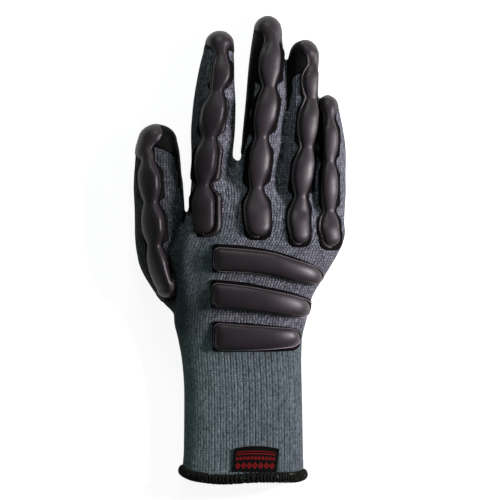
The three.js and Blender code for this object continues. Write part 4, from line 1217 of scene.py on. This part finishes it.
def woven_ribbon(trimmings):
    """Polyester ribbon woven on a label loom: black satin ground with a red woven pattern of
    diamonds between stripes."""

    def draw(node):
        place = node("UVMap", uv_map="ribbon")
        sideways = node("SeparateXYZ", {0: place})
        upwards = node("SeparateXYZ", {0: place}, output=1)

        def diamonds(middle, half, period):
            wave = node("Math", {0: sideways, 1: period / 2}, operation="PINGPONG")
            rise = node("Math", {0: upwards, 1: middle}, operation="SUBTRACT")
            rise = node("Math", {0: rise}, operation="ABSOLUTE")
            rise = node("Math", {0: rise, 1: period / 2 / half, 2: wave}, operation="MULTIPLY_ADD")
            edge = node("Math", {0: rise, 1: period * 0.49}, operation="LESS_THAN")
            core = node("Math", {0: rise, 1: period * 0.16}, operation="GREATER_THAN")
            return node("Math", {0: edge, 1: core}, operation="MULTIPLY")

        red = node("Math", {0: diamonds(-3.9, 2.1, 3.4), 1: diamonds(0.4, 1.3, 2.2)}, operation="MAXIMUM")
        for height, half in ((2.9, 0.3), (4.3, 0.2)):
            stripe = node("Math", {0: upwards, 1: height, 2: half}, operation="COMPARE")
            red = node("Math", {0: red, 1: stripe}, operation="MAXIMUM")
        inside = node("Math", {0: sideways}, operation="ABSOLUTE")
        inside = node("Math", {0: inside, 1: 11.6}, operation="LESS_THAN")
        red = node("Math", {0: red, 1: inside}, operation="MULTIPLY")
        # Threads are about 0.15 mm apart, drawn at 0.5 mm so that they show
        weave = node("VectorMath", {0: place, 1: (2.0, 2.0, 2.0)}, operation="MULTIPLY")
        threads = node("TexChecker", {"Vector": weave, "Scale": 1.0}, output="Fac")
        ground = node("Mix", {0: threads, 6: linear("#040404"), 7: linear("#0d0e0d")}, **RGBA)
        colour = node("Mix", {0: red, 6: ground, 7: tuple(trimmings.label_colour)}, **RGBA)
        return {"Base Color": colour, "Height": threads}

    return shaded("loom_woven_ribbon", draw, 0.00006, Roughness=0.8, Specular_IOR_Level=0.12)


def plain_floor():
    """An opal board lit from below, nearly white, so that shadows on it stay pale"""

    def draw(node):
        place = node("TexCoord", output="Object")
        cloud = node("TexNoise", {"Vector": place, "Scale": 3.0, "Detail": 2.0})
        colour = node("Mix", {0: cloud, 6: linear("#b4b4b3"), 7: linear("#bababa")}, **RGBA)
        return {"Base Color": colour, "Height": cloud}

    return shaded(
        "opal_light_board", draw, 0.00001,
        Roughness=0.9, Emission_Color=linear("#ffffff"), Emission_Strength=0.9,
    )


# The middle of the photo in the tables' millimetres, and the height at which its width is measured
PHOTO_MIDDLE = (5.7, -0.3, 0)
PHOTO_HEIGHT = 0.012
# Half the floor's side in metres, and the width of the camera's sensor in millimetres
FLOOR_HALF = 4
SENSOR = 36
# Lamps: name, also of the setting for its power, place, size and colour
LAMPS = [("key", (0.65, 0.12, 0.4), 0.18, "#fff7fb"), ("fill", (0, 0.9, 0.5), 0.4, "#f0fff7")]


def stage(settings):
    """The floor, the camera straight above the back of the hand, and soft lamps"""
    bm = bmesh.new()
    bmesh.ops.create_grid(bm, x_segments=1, y_segments=1, size=FLOOR_HALF)
    mesh = bpy.data.meshes.new("floor")
    bm.to_mesh(mesh)
    bm.free()
    mesh.materials.append(plain_floor())
    floor = placed("floor", mesh)
    # The board's own glow doesn't reach the underside of the glove
    floor.visible_diffuse = False

    lens = bpy.data.cameras.new("camera")
    lens.sensor_width = SENSOR
    lens.lens = SENSOR * (settings.distance - PHOTO_HEIGHT) / settings.across
    lens.clip_end = 20
    camera = placed("camera", lens)
    camera.location = TO_FRAME @ Vector(PHOTO_MIDDLE)
    camera.location.z = settings.distance
    bpy.context.scene.camera = camera

    for name, place, size, colour in LAMPS:
        light = bpy.data.lights.new(name, "AREA")
        light.size, light.energy, light.color = size, getattr(settings, name), linear(colour)[:3]
        lamp = placed(name, light)
        lamp.location = place
        lamp.rotation_euler = (-Vector(place)).to_track_quat("-Z", "Y").to_euler()
    world = bpy.data.worlds.new("studio")
    world.use_nodes = True
    background = world.node_tree.nodes["Background"]
    background.inputs["Color"].default_value = linear("#e6fff3")
    background.inputs["Strength"].default_value = settings.sky
    bpy.context.scene.world = world
    bpy.context.scene.view_settings.view_transform = "Standard"


def length_setting(name, description, default):
    """A length in metres"""
    return bpy.props.FloatProperty(
        name=name, description=description, default=default, unit="LENGTH", precision=5,
    )


def colour_setting(name, description, code):
    """A colour, given as an sRGB hex code"""
    return bpy.props.FloatVectorProperty(
        name=name, description=description, default=linear(code), size=4, subtype="COLOR",
    )


class GLOVE_PG_knit(bpy.types.PropertyGroup):
    wale: length_setting("Wale", "Distance between two columns of stitches", 0.00175)
    course: length_setting("Course", "Distance between two rows of stitches", 0.0016)
    dark: colour_setting("Dark fibres", "Colour of the darker fibres in the yarn", "#53555f")
    light: colour_setting("Light fibres", "Colour of the lighter fibres in the yarn", "#9fa1b0")
    fleck: colour_setting("Flecks", "Colour of the palest stitches", "#babdcb")


class GLOVE_PG_rubber(bpy.types.PropertyGroup):
    dome: length_setting("Dome", "How far a guard's top swells above its rim", 0.0024)
    dark: colour_setting("Dark tone", "Darkest tone of the moulded rubber", "#221c21")
    light: colour_setting("Light tone", "Lightest tone of the moulded rubber", "#332b31")


class GLOVE_PG_trimmings(bpy.types.PropertyGroup):
    yarn: length_setting("Hem yarn", "Thickness of the yarn that wraps the cuff's edge", 0.0013)
    hem_colour: colour_setting("Hem colour", "Colour of the hem's yarn", "#20241f")
    label_colour: colour_setting("Label pattern", "Colour of the pattern woven into the label", "#861519")


class GLOVE_PG_stage(bpy.types.PropertyGroup):
    distance: length_setting("Distance", "Height of the camera above the floor", 2.6)
    across: length_setting("Across", "Width of what the camera sees", 0.3)
    key: bpy.props.FloatProperty(
        name="Key lamp", description="Power of the softbox on the little finger's side",
        default=7.8, unit="POWER",
    )
    fill: bpy.props.FloatProperty(
        name="Fill lamp", description="Power of the large softbox beyond the fingertips",
        default=2.4, unit="POWER",
    )
    sky: bpy.props.FloatProperty(
        name="Sky", description="Strength of the light from all round", default=0.085,
    )


class GLOVE_OT_stage(bpy.types.Operator):
    """Sets up the floor, the camera and the lamps"""

    bl_idname = "glove.stage"
    bl_label = "Stage"

    def execute(self, context):
        stage(context.scene.glove_stage)
        return {"FINISHED"}


class GLOVE_OT_knit(bpy.types.Operator):
    """Knits the hand and its ribbed cuff"""

    bl_idname = "glove.knit"
    bl_label = "Knitted shell"

    def execute(self, context):
        knit_shell(context.scene.glove_knit)
        return {"FINISHED"}


class GLOVE_OT_dip(bpy.types.Operator):
    """Coats the palm and the undersides of the fingers"""

    bl_idname = "glove.dip"
    bl_label = "Dipped palm"

    def execute(self, context):
        palm_dip()
        return {"FINISHED"}


class GLOVE_OT_guards(bpy.types.Operator):
    """Moulds a guard with its fingertip cap for each finger"""

    bl_idname = "glove.guards"
    bl_label = "Finger guards"

    def execute(self, context):
        for name in FINGERS:
            guard(name, context.scene.glove_rubber)
        return {"FINISHED"}


class GLOVE_OT_bars(bpy.types.Operator):
    """Moulds the three bars on the back of the hand"""

    bl_idname = "glove.bars"
    bl_label = "Hand bars"

    def execute(self, context):
        for name in BARS:
            bar(name, context.scene.glove_rubber)
        return {"FINISHED"}


class GLOVE_OT_hem(bpy.types.Operator):
    """Overlocks the mouth of the cuff"""

    bl_idname = "glove.hem"
    bl_label = "Hem"

    def execute(self, context):
        hem(context.scene.glove_trimmings)
        return {"FINISHED"}


class GLOVE_OT_label(bpy.types.Operator):
    """Weaves the label and sews it to the cuff"""

    bl_idname = "glove.label"
    bl_label = "Label"

    def execute(self, context):
        label(context.scene.glove_trimmings)
        return {"FINISHED"}


class GLOVE_PT_panel(bpy.types.Panel):
    """Lists the glove's pieces and settings"""

    bl_label = "Impact glove"
    bl_idname = "GLOVE_PT_panel"
    bl_space_type = "VIEW_3D"
    bl_region_type = "UI"
    bl_category = "Glove"

    def draw(self, context):
        for name in SETTINGS:
            box = self.layout.box()
            group = getattr(context.scene, name)
            for key in group.__annotations__:
                box.prop(group, key)
        for operator in OPERATORS:
            self.layout.operator(operator.bl_idname)


OPERATORS = (
    GLOVE_OT_stage, GLOVE_OT_knit, GLOVE_OT_dip, GLOVE_OT_guards, GLOVE_OT_bars, GLOVE_OT_hem,
    GLOVE_OT_label,
)
SETTINGS = {
    "glove_knit": GLOVE_PG_knit, "glove_rubber": GLOVE_PG_rubber,
    "glove_trimmings": GLOVE_PG_trimmings, "glove_stage": GLOVE_PG_stage,
}
CLASSES = tuple(SETTINGS.values()) + OPERATORS + (GLOVE_PT_panel,)


def register():
    for kind in CLASSES:
        bpy.utils.register_class(kind)
    for name, kind in SETTINGS.items():
        setattr(bpy.types.Scene, name, bpy.props.PointerProperty(type=kind))


def unregister():
    for name in SETTINGS:
        delattr(bpy.types.Scene, name)
    for kind in reversed(CLASSES):
        bpy.utils.unregister_class(kind)


def main():
    register()
    bpy.ops.glove.stage()
    bpy.ops.glove.knit()
    bpy.ops.glove.dip()
    bpy.ops.glove.guards()
    bpy.ops.glove.bars()
    bpy.ops.glove.hem()
    bpy.ops.glove.label()


if __name__ == "__main__":
    main()
